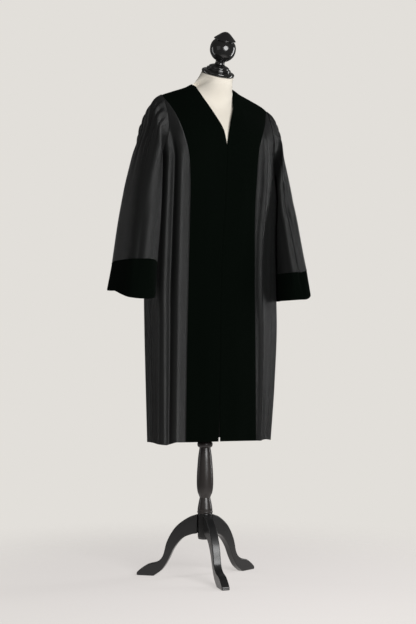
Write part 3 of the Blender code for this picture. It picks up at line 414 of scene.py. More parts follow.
STATIONS = np.unique(np.concatenate([
    [0.0, 0.004, 0.012, 0.025], np.linspace(0.04, 1.10, 106), np.linspace(1.10, 2.0, 110),
    [V_STATION - 1e-4, V_STATION],
]))
for side, word in SIDES.items():
    v_edge = column_of(V_EDGE, WORN[side], STATIONS)
    closure = column_of(CLOSURE, "across", STATIONS)
    slit = column_of(SLIT, "across", STATIONS)
    inner = np.where(STATIONS < V_STATION, v_edge, side * closure) + slit + SEAM_GAP / 2
    outer = column_of(VELVET_EDGE, WORN[side], STATIONS) - SEAM_GAP / 2
    share = spread(54)
    across = side * (inner[:, None] * (1 - share) + outer[:, None] * share)
    station = np.broadcast_to(STATIONS[:, None], across.shape)
    place = angle_at(across, station), station
    front = panel(f"velvet_front_{word}", place, VELVET)


# Side fronts: black wool with a soft satin sheen, set into the velvet's curved seam. They
# hang from the armhole in long soft folds, with one deep trough on the wearer's right and
# two narrow bright ridges on the left.
WOOL, nodes, links, shader = principled(
    "wool_satin", (0.007, 0.0074, 0.0072), 0.33, Specular_IOR_Level=0.29,
    Sheen_Weight=0.015, Sheen_Roughness=0.35, Sheen_Tint=(0.95, 0.95, 1.0, 1.0),
)
mottled(nodes, links, shader, "Roughness", 0.31, 0.36, 30.0, (1.0, 1.0, 0.3))
mottled(
    nodes, links, shader, "Base Color",
    (0.0060, 0.0064, 0.0062), (0.0082, 0.0086, 0.0085), 14.0, (1.0, 1.0, 0.25),
)
bumped(nodes, links, shader, 900.0, 0.00022, weave=420.0)
SIDE_TOP = 0.05
SIDE_FOOT = 1.10
SIDE_REACH = 0.200
SIDE_SEAM_TURN = math.degrees(SEAM_GAP / 2 / SIDE_REACH)


def armhole(turn, behind, side):
    """Angle and station of the armhole's edge, from 0 degrees on the shoulder to 90 underneath."""
    station = np.sin(np.radians(turn))
    flat = np.abs(angle_at(np.full(np.shape(turn), side * ARMHOLE_ACROSS[side]), station))
    angle = flat + (90 - flat) * (1 - np.cos(np.radians(turn))) ** 1.6
    return (180 - angle if behind else angle), station


for side, word in SIDES.items():
    rows = STATIONS[STATIONS >= SIDE_TOP - 1e-9]
    rows = np.unique(np.concatenate([[SIDE_TOP], rows]))
    inner = np.abs(angle_at(side * (column_of(VELVET_EDGE, WORN[side], rows) + SEAM_GAP / 2), rows))
    climb = np.clip((rows - SIDE_TOP) / (SIDE_FOOT - SIDE_TOP), 0, 1)
    first = math.degrees(math.asin(SIDE_TOP))
    edge, edge_station = armhole(first + (90 - first) * climb, False, side)
    below = rows > SIDE_FOOT
    edge = np.where(below, 90, edge)
    edge = edge - SIDE_SEAM_TURN * (edge > 89)
    edge_station = np.where(below, rows, edge_station)
    share = spread(84)
    angle = inner[:, None] * (1 - share) + edge[:, None] * share
    station = rows[:, None] * (1 - share) + edge_station[:, None] * share
    front = panel(f"side_front_{word}", (side * angle, station), WOOL)


# Back yoke: one piece of the same velvet over the back of the shoulders, cut round the nape,
# so that the front bands run on over the shoulders behind. It isn't seen in the photograph.
across = np.concatenate([
    np.linspace(-ARMHOLE_ACROSS[-1], -NECK_POINT_ACROSS, 30)[:-1],
    np.linspace(-NECK_POINT_ACROSS, NECK_POINT_ACROSS, 61),
    np.linspace(NECK_POINT_ACROSS, ARMHOLE_ACROSS[1], 30)[1:],
])
nape = np.clip(1 - (across / NECK_POINT_ACROSS) ** 2, 0, None) ** 0.6 * NAPE_STATION
top = seam_height(across, True)
foot = (top - YOKE_HEIGHT - SEAM_GAP / 2) / (top - UNDERARM_HEIGHT)
share = np.linspace(0, 1, 44)[:, None]
station = nape * (1 - share ** 1.2) + foot * share ** 1.2
angle = angle_at(np.broadcast_to(across, station.shape), station, behind=True)
yoke = panel("back_yoke", (angle, station), VELVET)


# Back: black wool gathered along the yoke's straight seam and falling in soft tubes to the
# hem. It isn't seen in the photograph, and is gathered as such robes are.
halves = []
for side in SIDES:
    top = float(seam_height(ARMHOLE_ACROSS[side], True))
    first = math.degrees(math.asin((top - YOKE_HEIGHT) / (top - UNDERARM_HEIGHT)))
    edge, edge_station = armhole(np.linspace(first, 90, 70), True, side)
    below = np.linspace(SIDE_FOOT, 2.0, 105)[1:]
    edge = np.concatenate([edge, np.full(len(below), 90.0)])
    edge = edge + SIDE_SEAM_TURN * (edge < 91)
    edge_station = np.concatenate([edge_station, below])
    share = np.linspace(0, 1, 121)
    down = np.concatenate([np.linspace(0, 1, 70) ** 0.9 * SIDE_FOOT, below])
    top_across = share * ARMHOLE_ACROSS[side]
    top = seam_height(top_across, True)
    top_station = (top - YOKE_HEIGHT + SEAM_GAP / 2) / (top - UNDERARM_HEIGHT)
    middle = np.where(
        down[:, None] < SIDE_FOOT,
        top_station + (1.08 - top_station) * (down[:, None] / SIDE_FOOT),
        down[:, None],
    )
    station = middle + (edge_station[:, None] - middle[:, -1:]) * share ** 3
    station[0] = top_station
    angle = 180 - (180 - edge[:, None]) * share
    first_row = np.abs(angle_at(side * top_across, top_station, behind=True))
    straight = ease(down, 0.0, 0.5)[:, None]
    halves.append((side * (first_row * (1 - straight) + angle * straight), station))
angle, station = (np.concatenate([right[:, :0:-1], left], axis=1) for right, left in zip(*halves))
back = panel("back", (angle, station), WOOL)


# Sleeves: wide straight wool sleeves, pleated into the whole top of the armhole, so that the
# pleats fan down from the shoulder and run out in long ridges that catch the light outside.
Limb = namedtuple("Limb", "station outer_across outer_height inner_across inner_height front back power")
SLEEVE = [
    Limb(0.00, 0.2003, 1.559, 0.207, 1.360, 0.102, -0.090, 2.2),
    Limb(0.05, 0.2240, 1.545, 0.209, 1.349, 0.108, -0.084, 2.2),
    Limb(0.11, 0.2405, 1.520, 0.211, 1.330, 0.116, -0.066, 2.2),
    Limb(0.20, 0.2500, 1.455, 0.213, 1.292, 0.126, -0.040, 2.2),
    Limb(0.32, 0.2755, 1.372, 0.215, 1.243, 0.133, -0.028, 2.4),
    Limb(0.50, 0.3040, 1.270, 0.219, 1.180, 0.139, -0.025, 2.6),
    Limb(0.75, 0.3260, 1.150, 0.226, 1.110, 0.143, -0.030, 2.8),
    Limb(1.00, 0.3440, 1.030, 0.234, 1.030, 0.146, -0.034, 2.8),
]
CUFF = [
    Limb(0.00, 0.3440, 1.030, 0.234, 1.030, 0.146, -0.034, 2.8),
    Limb(1.00, 0.3610, 0.930, 0.240, 0.930, 0.150, -0.038, 2.8),
]
Lie = namedtuple("Lie", "station inward backward")
LEFT_LIES = [
    Lie(0.00, 0.0000, 0.000), Lie(0.05, 0.0040, 0.002), Lie(0.11, 0.0070, 0.004),
    Lie(0.20, 0.0080, 0.010), Lie(0.32, 0.0110, 0.022), Lie(0.50, 0.0160, 0.026),
    Lie(0.60, 0.0180, 0.020), Lie(0.75, 0.0180, 0.014), Lie(0.89, 0.0170, 0.008),
    Lie(1.00, 0.0155, 0.002),
]
Hang = namedtuple("Hang", "angle seam hem")
RIGHT_HANG = [
    Hang(0, 1.031, 0.936), Hang(25, 1.032, 0.922), Hang(50, 1.033, 0.913), Hang(90, 1.033, 0.909),
    Hang(135, 1.024, 0.916), Hang(180, 1.010, 0.925), Hang(270, 1.022, 0.944),
    Hang(360, 1.031, 0.936),
]
LEFT_HANG = [
    Hang(0, 1.026, 0.939), Hang(50, 1.019, 0.932), Hang(90, 1.010, 0.918),
    Hang(180, 1.005, 0.914), Hang(270, 1.020, 0.941), Hang(360, 1.026, 0.939),
]
Pleat = namedtuple("Pleat", "angle end_angle end depth half_width")
PLEATS = [
    Pleat(-72, -84, 0.36, 0.0040, 5), Pleat(-52, -60, 0.42, 0.0042, 5),
    Pleat(-34, -38, 0.50, 0.0042, 5), Pleat(-18, -16, 0.40, 0.0040, 4.5),
    Pleat(-4, 4, 0.55, 0.0042, 4.5), Pleat(9, 22, 0.42, 0.0038, 4.5),
    Pleat(23, 42, 0.50, 0.0036, 5), Pleat(40, 62, 0.40, 0.0026, 6),
]
STEEP_SIDE = 0.6
Ripple = namedtuple("Ripple", "angle cuff_angle start full depth half_width")
RIPPLES = {
    -1: [
        Ripple(90, 95, 0.30, 0.75, -0.0052, 12), Ripple(62, 66, 0.40, 1.00, 0.0030, 12),
        Ripple(-8, 6, 0.20, 0.80, 0.0010, 14), Ripple(-38, -30, 0.35, 0.90, 0.0030, 10),
        Ripple(-92, -84, 0.10, 0.60, -0.0020, 12), Ripple(-118, -110, 0.10, 0.60, 0.0026, 10),
    ],
    1: [
        Ripple(95, 90, 0.04, 0.35, 0.0050, 4.2), Ripple(118, 116, 0.10, 0.50, -0.0040, 12),
        Ripple(70, 70, 0.10, 0.60, -0.0020, 7), Ripple(-10, -4, 0.20, 0.80, 0.0012, 14),
        Ripple(-48, -40, 0.30, 0.90, -0.0024, 10), Ripple(-92, -84, 0.10, 0.60, 0.0030, 11),
    ],
}
COLUMNS = 216
CROWDING = 0.055  # how much closer the columns are along the top of the arm
SLEEVE_ROWS = np.unique(np.concatenate([np.linspace(0, 0.2, 50), np.linspace(0.2, 1.0, 90)]))
share = np.arange(COLUMNS) / COLUMNS
TURN = 2 * np.pi * (share - CROWDING * np.sin(2 * np.pi * share))


def limb_section(table, station, turn, side):
    """A ring of points round the sleeve at each station, from its named lines and reach."""
    station = np.broadcast_to(station, turn.shape)
    column = {name: column_of(table, name, station) for name in Limb._fields[1:]}
    cosine = np.sign(np.cos(turn)) * np.abs(np.cos(turn)) ** (2 / column["power"])
    sine = np.sign(np.sin(turn)) * np.abs(np.sin(turn)) ** (2 / column["power"])
    middle = (column["outer_across"] + column["inner_across"]) / 2
    level = (column["outer_height"] + column["inner_height"]) / 2
    across = middle + (column["outer_across"] - middle) * cosine
    height = level + (column["outer_height"] - level) * cosine
    lies_at = station if table is SLEEVE else np.ones(turn.shape)
    lie = {name: column_of(LEFT_LIES, name, lies_at) for name in Lie._fields[1:]}
    front = column["front"] - (lie["backward"] if side > 0 else 0.0)
    centre = (front + column["back"]) / 2
    forward = centre + (front - centre) * sine
    if side > 0:
        across = across - lie["inward"] * (1 + cosine) / 2
    hang = LEFT_HANG if side > 0 else RIGHT_HANG
    degrees = np.degrees(turn) % 360
    seam, hem = column_of(hang, "seam", degrees), column_of(hang, "hem", degrees)
    if table is SLEEVE:
        height = height + (seam - SLEEVE[-1].outer_height) * ease(station, 0.45, 1.0)
    else:
        height = seam + (hem - seam) * station
    return np.stack([side * across, -forward, height], axis=-1)


def pleats_at(turn, station):
    """How far pleats push the sleeve out. Each rises slowly on one side and drops on the other."""
    degrees = np.degrees(turn)
    push = np.zeros(turn.shape)
    for pleat in PLEATS:
        middle = pleat.angle + (pleat.end_angle - pleat.angle) * np.clip(station / pleat.end, 0, 1)
        off = (degrees - middle + 180) % 360 - 180
        steep = off * (1 if pleat.angle > -10 else -1) > 0
        width = pleat.half_width * np.where(steep, STEEP_SIDE, 2 - STEEP_SIDE)
        depth = pleat.depth * ease(station, 0.0, 0.06)
        depth = depth * (1 - ease(station, 0.35 * pleat.end, pleat.end))
        push = push + depth * np.exp(-((off / width) ** 2))
    return push


def ripples_at(turn, station, side):
    """How far the sleeve's hanging folds push it out: each runs on, widening, to the cuff."""
    degrees = np.degrees(turn)
    push = np.zeros(turn.shape)
    for ripple in RIPPLES[side]:
        middle = ripple.angle + (ripple.cuff_angle - ripple.angle) * station
        off = (degrees - middle + 180) % 360 - 180
        bell = np.exp(-((off / ripple.half_width) ** 2))
        push = push + ripple.depth * ease(station, ripple.start, ripple.full) * bell
    return push


CLEAR_HEIGHTS = np.linspace(0.90, 1.46, 90)
CLEAR_DEPTHS = np.linspace(-0.17, 0.15, 81)
CLEARANCE = 0.002
HANGING_CLEARANCE = 0.005
RIM_OUT = 0.0007


def body_reach(side):
    """How far out the body reaches beside each height and depth.

    Above the underarm only the strips of the front and the back along the armhole count.
    """
    reach = np.zeros((len(CLEAR_HEIGHTS), len(CLEAR_DEPTHS)))
    top = float(seam_height(ARMHOLE_ACROSS[side], False))
    for row, height in enumerate(CLEAR_HEIGHTS):
        if height > UNDERARM_HEIGHT:
            station = (top - height) / (top - UNDERARM_HEIGHT)
            edge = float(armhole(math.degrees(math.asin(station)), False, side)[0])
            angles = np.concatenate([
                np.linspace(edge * 0.8, edge, 30), 180 - np.linspace(edge, edge * 0.8, 30),
            ])
        else:
            station = 1 + (UNDERARM_HEIGHT - height) / (UNDERARM_HEIGHT - HEM_HEIGHT)
            angles = np.linspace(2, 178, 240)
        ring = garment(side * angles, np.full(angles.shape, station))
        near = np.abs(ring[None, :, 1] - CLEAR_DEPTHS[:, None]) < 0.008
        reach[row] = np.where(near, np.abs(ring[None, :, 0]), 0).max(axis=1)
    return reach


def clear_of_body(points, side, reach):
    """Moves points of a sleeve out sideways where they would touch the body of the robe."""
    row = np.interp(points[..., 2], CLEAR_HEIGHTS, np.arange(len(CLEAR_HEIGHTS)))
    column = np.interp(points[..., 1], CLEAR_DEPTHS, np.arange(len(CLEAR_DEPTHS)))
    i = np.clip(row.astype(int), 0, len(CLEAR_HEIGHTS) - 2)
    j = np.clip(column.astype(int), 0, len(CLEAR_DEPTHS) - 2)
    limit = np.maximum.reduce([reach[i, j], reach[i + 1, j], reach[i, j + 1], reach[i + 1, j + 1]])
    hanging = ease(UNDERARM_HEIGHT - points[..., 2], 0.0, 0.10)
    beside_body = (limit > 0) & (points[..., 2] < CLEAR_HEIGHTS[-1])
    limit = np.where(beside_body, limit + CLEARANCE + HANGING_CLEARANCE * hanging, 0)
    moved = points.copy()
    moved[..., 0] = side * np.maximum(np.abs(points[..., 0]), limit)
    return moved


def tube(name, points, side, thick, paint):
    """A tube of cloth, open at both ends, from its rings of outer points."""
    normals = grid_normals(points, True) * side
    vertices = np.concatenate([points.reshape(-1, 3), (points - normals * thick).reshape(-1, 3)])
    faces = cloth_faces(*points.shape[:2], True)
    return add_piece(f"{name}_cloth", vertices, faces, paint, node=name)


sleeve_feet = {}
for side, word in SIDES.items():
    reach = body_reach(side)
    turn, station = np.meshgrid(TURN, SLEEVE_ROWS)
    points = limb_section(SLEEVE, station, turn, side)
    rim_angle = np.degrees(TURN)
    ahead, ahead_station = armhole(np.clip(rim_angle, 0, 180) / 2, False, side)
    behind, behind_station = armhole(np.clip(360 - rim_angle, 0, 180) / 2, True, side)
    rim = np.where(
        (rim_angle <= 180)[:, None],
        garment(side * ahead, ahead_station), garment(side * behind, behind_station),
    )
    rim[:, 0] += side * RIM_OUT
    hold = 1 - ease(SLEEVE_ROWS, 0.0, 0.30)
    points = points + hold[:, None, None] * (rim - points[0])
    points[1:] = clear_of_body(points[1:], side, reach)
    push = pleats_at(turn, station) + ripples_at(turn, station, side)
    fall = ease(np.cos(turn), -0.9, -0.3)
    points = points + grid_normals(points, True) * side * (push * fall)[..., None]
    points[1:] = clear_of_body(points[1:], side, reach)
    sleeve_feet[side] = points[-1], reach
    sleeve = tube(f"sleeve_{word}", points, side, CLOTH, WOOL)


# Cuffs: deep turned-back bands of velvet on the sleeves' ends, a shade wider than the wool
# above them. They hang lower in front, and each keeps the flattened oval of the sleeve.
CUFF_WALL = 0.0024
CUFF_OVER_SLEEVE = 0.0012
CUFF_LIP = 0.0006
for side, word in SIDES.items():
    above, reach = sleeve_feet[side]
    rows = spread(46, 0.5)
    turn, station = np.meshgrid(TURN, rows)
    points = clear_of_body(limb_section(CUFF, station, turn, side), side, reach)
    points = points + (above - points[0]) * (1 - ease(rows, 0.0, 1.0))[:, None, None]
    swell = CUFF_OVER_SLEEVE * ease(rows, 0.0, 0.06) + CUFF_LIP * ease(rows, 0.94, 1.0)
    points = points + grid_normals(points, True) * side * swell[:, None, None]
    points[0, :, 2] = above[:, 2] - SEAM_GAP
    cuff = tube(f"cuff_{word}", points, side, CUFF_WALL, VELVET)


# Dress form: a smooth padded torso without limbs, in ivory jersey, whose neck leans forward.
# Only the neck and the chest inside the V show, and from below the flat underside.
JERSEY, nodes, links, shader = principled(
    "jersey_knit", (0.80, 0.74, 0.64), 0.85, Specular_IOR_Level=0.2,
    Sheen_Weight=0.15, Sheen_Roughness=0.5,
)
mottled(nodes, links, shader, "Base Color", (0.77, 0.715, 0.62), (0.83, 0.775, 0.68), 16.0)
bumped(nodes, links, shader, 700.0, 0.0004, 0.5)
Torso = namedtuple("Torso", "height half_width front back power")
TORSO = [
    Torso(0.860, 0.158, 0.096, 0.090, 2.4), Torso(0.930, 0.164, 0.099, 0.096, 2.4),
    Torso(1.020, 0.152, 0.093, 0.084, 2.3), Torso(1.130, 0.134, 0.090, 0.066, 2.3),
    Torso(1.240, 0.148, 0.108, 0.078, 2.4), Torso(1.340, 0.168, 0.128, 0.096, 2.6),
    Torso(1.420, 0.180, 0.138, 0.106, 3.0), Torso(1.560, 0.186, 0.140, 0.112, 3.2),
]
TORSO_INSET = 0.0040
TORSO_DROP = 0.0046
NECK_ROOM = 0.007
NECK_RADIUS = 0.0580
NECK_TOP_RADIUS = 0.0540
NECK_LEAN = math.radians(24)
NECK_BASE = (0.053, 1.580)
NECK_TOP_UP = 0.070
NECK_BLEND = 0.014
NAPE_BLEND = 0.006
NECK_FROM_HEIGHT = 1.46
NECK_SIDES_FROM_HEIGHT = 1.50
NEAR_NECK = (0.085, 0.115)
INTO_ROBE = (1.40, 1.48)
EVENED_HEIGHTS = (1.40, 1.47)
EVENINGS = 30


def soft_max(a, b, blend):
    """The larger of two values, with the step between them rounded over `blend`."""
    near = np.clip(blend - np.abs(a - b), 0, None) / blend
    return np.maximum(a, b) + near * near * blend / 4


def torso_outline(height, turn):
    """The dress form's outline at a height: shoulders that carry the robe, and the neck."""
    half, front, back, power = (float(column_of(TORSO, name, height)) for name in Torso._fields[1:])
    lifted = height + TORSO_DROP
    reach = float(np.interp(
        lifted, [row.height for row in reversed(RIDGE)], [row.across for row in reversed(RIDGE)]
    ))
    half = min(half, reach) if lifted < RIDGE[0].height else 0.0
    wide = float(soft_max(half, NECK_RADIUS, NAPE_BLEND)) if height > NECK_SIDES_FROM_HEIGHT else half
    sine, cosine = np.sin(turn), np.cos(turn)
    across = wide * np.sign(sine) * np.abs(sine) ** 0.8
    ratio = np.clip(np.abs(across) / max(half, 1e-6), 0, 1)
    round_front = front * (1 - ratio ** power) ** (1 / power)
    round_back = -back * (1 - ratio ** power) ** (1 / power)
    near_neck = 1 - ease(np.abs(across), *NEAR_NECK)
    lifted = lifted + NECK_ROOM * near_neck
    inset = TORSO_INSET + NECK_ROOM / 2 * near_neck
    rounding = (1 - np.clip(np.abs(across) / wide, 0, 1) ** 8) ** 0.4
    robe = []
    for behind, room in ((False, -inset), (True, inset)):
        top = seam_height(across, behind)
        station = np.clip((top - lifted) / (top - UNDERARM_HEIGHT), 0, 1)
        angle = angle_at(np.abs(across), station, behind)
        forward = -garment(angle, station, creased=False)[:, 1] + room
        robe.append(SEAM_FORWARD + (forward - SEAM_FORWARD) * rounding)
    near_top = float(ease(height, *INTO_ROBE))
    front_line = round_front * (1 - near_top) + robe[0] * near_top
    back_line = round_back * (1 - near_top) + robe[1] * near_top
    if height > NECK_FROM_HEIGHT:
        centre = NECK_BASE[0] + (height - NECK_BASE[1]) * math.tan(NECK_LEAN)
        inside = np.clip(1 - (across / NECK_RADIUS) ** 2, 0, None) ** 0.5
        outside = np.clip(np.abs(across) - NECK_RADIUS, 0, None) * 20
        deep = NECK_RADIUS / math.cos(NECK_LEAN)
        front_line = soft_max(front_line, centre + deep * inside - outside, NECK_BLEND)
        back_line = -soft_max(-back_line, -centre + deep * inside - outside, NAPE_BLEND)
    forward = np.where(cosine >= 0, front_line, back_line)
    return np.stack([across, -forward, np.full(turn.shape, height)], axis=-1)


def neck_ring(turn, up, radius):
    """A round ring of the neck, square to its leaning axis."""
    axis = np.array([0, -math.sin(NECK_LEAN), math.cos(NECK_LEAN)])
    level = np.array([0, -math.cos(NECK_LEAN), -math.sin(NECK_LEAN)])
    base = np.array([0, -NECK_BASE[0], NECK_BASE[1]])
    spin = np.sin(turn)[:, None] * np.array([1.0, 0, 0]) + np.cos(turn)[:, None] * level
    return base + axis * up + spin * radius


def ring_faces(rows, count):
    """Faces of a solid made of rings, one above the other, closed flat at both ends."""
    faces = []
    for i in range(rows - 1):
        for j in range(count):
            k = (j + 1) % count
            faces.append((i * count + j, i * count + k, (i + 1) * count + k, (i + 1) * count + j))
    return faces + [tuple(range(count)), tuple(range((rows - 1) * count, rows * count))]


around = 2 * np.pi * np.arange(160) / 160
heights = np.concatenate([
    [0.860, 0.863, 0.870], np.linspace(0.88, 1.44, 50), np.linspace(1.446, 1.606, 54),
])
rings = [torso_outline(height, around) for height in heights]
for ring, small in zip(rings, (0.93, 0.97, 0.99)):
    ring[:, :2] *= small
neck_top = neck_ring(around, NECK_TOP_UP - 0.004, NECK_TOP_RADIUS)
foot = rings[-1]
rings += [foot * (1 - t) + neck_top * t for t in np.linspace(0, 1, 24)[1:]]
rings += [
    neck_ring(around, NECK_TOP_UP - 0.001, NECK_TOP_RADIUS - 0.001),
    neck_ring(around, NECK_TOP_UP, NECK_TOP_RADIUS - 0.004),
]
rings = np.array(rings)
evened = rings.copy()
for _ in range(EVENINGS):
    evened[1:-1] = 0.5 * evened[1:-1] + 0.125 * (
        evened[:-2] + evened[2:] + np.roll(evened, 1, axis=1)[1:-1] + np.roll(evened, -1, axis=1)[1:-1]
    )
below_rim = 1 - ease(np.arange(len(rings)), len(rings) - 8, len(rings) - 2)
by_neck = (ease(rings[..., 2], *EVENED_HEIGHTS) * below_rim[:, None])[..., None]
rings = rings * (1 - by_neck) + evened * by_neck
faces = ring_faces(len(rings), len(around))
add_piece("torso_jersey", rings.reshape(-1, 3), faces, JERSEY, 50, node="form_torso")


# Cap and finial: turned wood under glossy black lacquer. The cap's stepped rings sit on the
# neck and lean with it; above a waist comes the ball, with a pointed lid with a thin lip.
LACQUER, nodes, links, shader = principled(
    "gloss_lacquer", (0.010, 0.010, 0.010), 0.16, Coat_Weight=0.6, Coat_Roughness=0.05,
)
mottled(nodes, links, shader, "Roughness", 0.13, 0.20, 24.0)
mottled(nodes, links, shader, "Base Color", (0.008, 0.008, 0.008), (0.013, 0.0125, 0.0125), 18.0)
CAP = [
    [(0.0060, 0.0000), (0.0490, 0.0000)],
    [(0.0528, 0.0022), (0.0537, 0.0062), (0.0528, 0.0098), (0.0490, 0.0124)],
    [(0.0430, 0.0136), (0.0392, 0.0146)], [(0.0398, 0.0172), (0.0388, 0.0200)],
    [(0.0335, 0.0214)], [(0.0332, 0.0244), (0.0318, 0.0268)],
    [(0.0250, 0.0300), (0.0180, 0.0318)], [(0.0060, 0.0320)],
]
FINIAL = [
    [(0.0060, 0.0323), (0.0178, 0.0328)],
    [(0.0160, 0.0350), (0.0150, 0.0385), (0.0153, 0.0430), (0.0178, 0.0460)],
    [
        (0.0225, 0.0478), (0.0310, 0.0548), (0.0385, 0.0655), (0.0416, 0.0775),
        (0.0414, 0.0900), (0.0378, 0.1010), (0.0322, 0.1085),
    ],
    [(0.0310, 0.1098), (0.0318, 0.1108)], [(0.0348, 0.1118), (0.0356, 0.1134), (0.0344, 0.1152)],
    [(0.0300, 0.1190), (0.0225, 0.1255), (0.0140, 0.1325), (0.0075, 0.1362), (0.0030, 0.1374)],
]


def bent_line(points, steps):
    """A smooth line through a few points, with `steps` stretches between each two."""
    points = np.array(points, float)
    before = np.vstack([2 * points[0] - points[1], points, 2 * points[-1] - points[-2]])
    line = []
    for a, b, c, d in zip(before, before[1:], before[2:], before[3:]):
        for t in np.arange(steps) / steps:
            line.append(0.5 * (
                2 * b + (c - a) * t + (2 * a - 5 * b + 4 * c - d) * t**2
                + (3 * b - a - 3 * c + d) * t**3
            ))
    return np.array(line + [points[-1]])


def turned(name, stretches, paint, node, lean=0.0, base=(0.0, 0.0, 0.0)):
    """A lathe piece: its stretches of profile are smoothed, joined and spun round its axis.

    Each stretch after the first starts where the one before ended.
    """
    whole = [stretches[0]] + [[a[-1], *b] for a, b in zip(stretches, stretches[1:])]
    profile = [bent_line(stretch, 5 if len(stretch) > 2 else 1) for stretch in whole]
    line = np.vstack([profile[0]] + [stretch[1:] for stretch in profile[1:]])
    count = 96
    spin = 2 * np.pi * np.arange(count) / count
    rings = np.stack([
        line[:, :1] * np.cos(spin), line[:, :1] * np.sin(spin),
        np.broadcast_to(line[:, 1:], (len(line), count)),
    ], axis=-1)
    y, z = rings[..., 1].copy(), rings[..., 2].copy()
    rings[..., 1] = y * math.cos(lean) - z * math.sin(lean)
    rings[..., 2] = y * math.sin(lean) + z * math.cos(lean)
    rings = rings + np.array(base)
    faces = ring_faces(len(line), count)
    return add_piece(name, rings.reshape(-1, 3), faces, paint, 35, node=node)


cap_base = neck_ring(np.zeros(1), NECK_TOP_UP + 0.0003, 0.0)[0]
turned("cap_turned", CAP, LACQUER, "neck_cap", NECK_LEAN, cap_base)
turned("finial_turned", FINIAL, LACQUER, "finial", NECK_LEAN, cap_base)


# Stand: a plain pole inside the robe, then a turned baluster in satin brown-black wood, with
# a bead at its top and a flared foot on the round lacquered hub.
DARK_WOOD, nodes, links, shader = principled(
    "satin_wood", (0.020, 0.017, 0.0155), 0.34, Coat_Weight=0.15, Coat_Roughness=0.2,
)
mottled(
    nodes, links, shader, "Base Color",
    (0.015, 0.0125, 0.0115), (0.030, 0.0255, 0.0235), 40.0, (1.0, 1.0, 0.06),
)
mottled(nodes, links, shader, "Roughness", 0.30, 0.40, 60.0, (1.0, 1.0, 0.08))
COLUMN = [
    [(0.0090, 0.2134), (0.0240, 0.2134)],
    [(0.0254, 0.2150), (0.0256, 0.2172), (0.0253, 0.2195), (0.0242, 0.2210)],
    [
        (0.0245, 0.2245), (0.0242, 0.2290), (0.0230, 0.2365), (0.0209, 0.2485),
        (0.0182, 0.2610), (0.0174, 0.2645),
    ],
    [
        (0.0186, 0.2675), (0.0214, 0.2746), (0.0240, 0.2811), (0.0262, 0.2935),
        (0.0272, 0.3072), (0.0273, 0.3260), (0.0265, 0.3480), (0.0247, 0.3740),
        (0.0224, 0.4000), (0.0188, 0.4240), (0.0182, 0.4290),
    ],
    [(0.0195, 0.4300)],
    [(0.0232, 0.4325), (0.0252, 0.4375), (0.0252, 0.4425), (0.0232, 0.4470), (0.0200, 0.4492)],
    [(0.0090, 0.4500)],
]
HUB = [
    [(0.0100, 0.1280), (0.0215, 0.1280)], [(0.0232, 0.1296), (0.0235, 0.1335)],
    [(0.0243, 0.1345)], [(0.0243, 0.2090)], [(0.0240, 0.2115), (0.0222, 0.2128)],
    [(0.0090, 0.2131)],
]
POLE_RADIUS = 0.0165
POLE_FOOT, POLE_HEAD = 0.4503, TORSO[0].height - 0.0003
POLE_LINE = [
    [(0.0001, POLE_FOOT), (POLE_RADIUS, POLE_FOOT)],
    [(POLE_RADIUS, POLE_HEAD)], [(0.0001, POLE_HEAD)],
]
turned("pole_rod", POLE_LINE, DARK_WOOD, "pole")
turned("column_turned", COLUMN, DARK_WOOD, "column")
turned("hub_turned", HUB, LACQUER, "hub")


# Legs: three bent legs sawn from board, flat on their sides, with softened edges and glossy
# lacquer. One comes forward, a little to the wearer's right of the middle.
LEG_WIDTH = 0.026
LEG_ROUNDING = 0.0035
LEG_TURN = math.radians(13.7)
LEG_TOP = [
    (0.0247, 0.209), (0.060, 0.195), (0.099, 0.164), (0.127, 0.118), (0.142, 0.068),
    (0.163, 0.047), (0.198, 0.036), (0.228, 0.014), (0.233, 0.004),
]
LEG_UNDER = [
    (0.231, 0.0), (0.174, 0.0), (0.146, 0.021), (0.125, 0.052), (0.104, 0.094),
    (0.075, 0.128), (0.045, 0.142), (0.0247, 0.146),
]
LEG_LACQUER, nodes, links, shader = principled(
    "leg_lacquer", (0.014, 0.014, 0.0143), 0.30,
    Specular_IOR_Level=0.4, Coat_Weight=0.22, Coat_Roughness=0.14,
)
mottled(nodes, links, shader, "Roughness", 0.26, 0.34, 30.0)
mottled(nodes, links, shader, "Base Color", (0.012, 0.012, 0.0122), (0.017, 0.017, 0.0172), 25.0)
for number in range(3):
    outline = np.vstack([bent_line(LEG_TOP, 7), LEG_UNDER[:2], bent_line(LEG_UNDER[1:], 7)[1:]])
    count = len(outline)
    turn = LEG_TURN + number * math.tau / 3
    out = np.array([-math.sin(turn), -math.cos(turn), 0])
    beside = np.array([-out[1], out[0], 0])
    flat = outline[:, :1] * out + outline[:, 1:] * np.array([0, 0, 1.0])
    vertices = np.vstack([flat - beside * LEG_WIDTH / 2, flat + beside * LEG_WIDTH / 2])
    faces = [tuple(range(count)), tuple(range(2 * count - 1, count - 1, -1))]
    faces += [(i, count + i, count + (i + 1) % count, (i + 1) % count) for i in range(count)]
    leg = add_piece(
        f"leg_{number + 1}_board", vertices, faces, LEG_LACQUER,
        node=f"leg_{number + 1}",
    )
    rounding = leg.modifiers.new("softened_edges", "BEVEL")
    rounding.width = LEG_ROUNDING
    rounding.segments = 4
    rounding.limit_method = "ANGLE"
    rounding.angle_limit = math.radians(60)


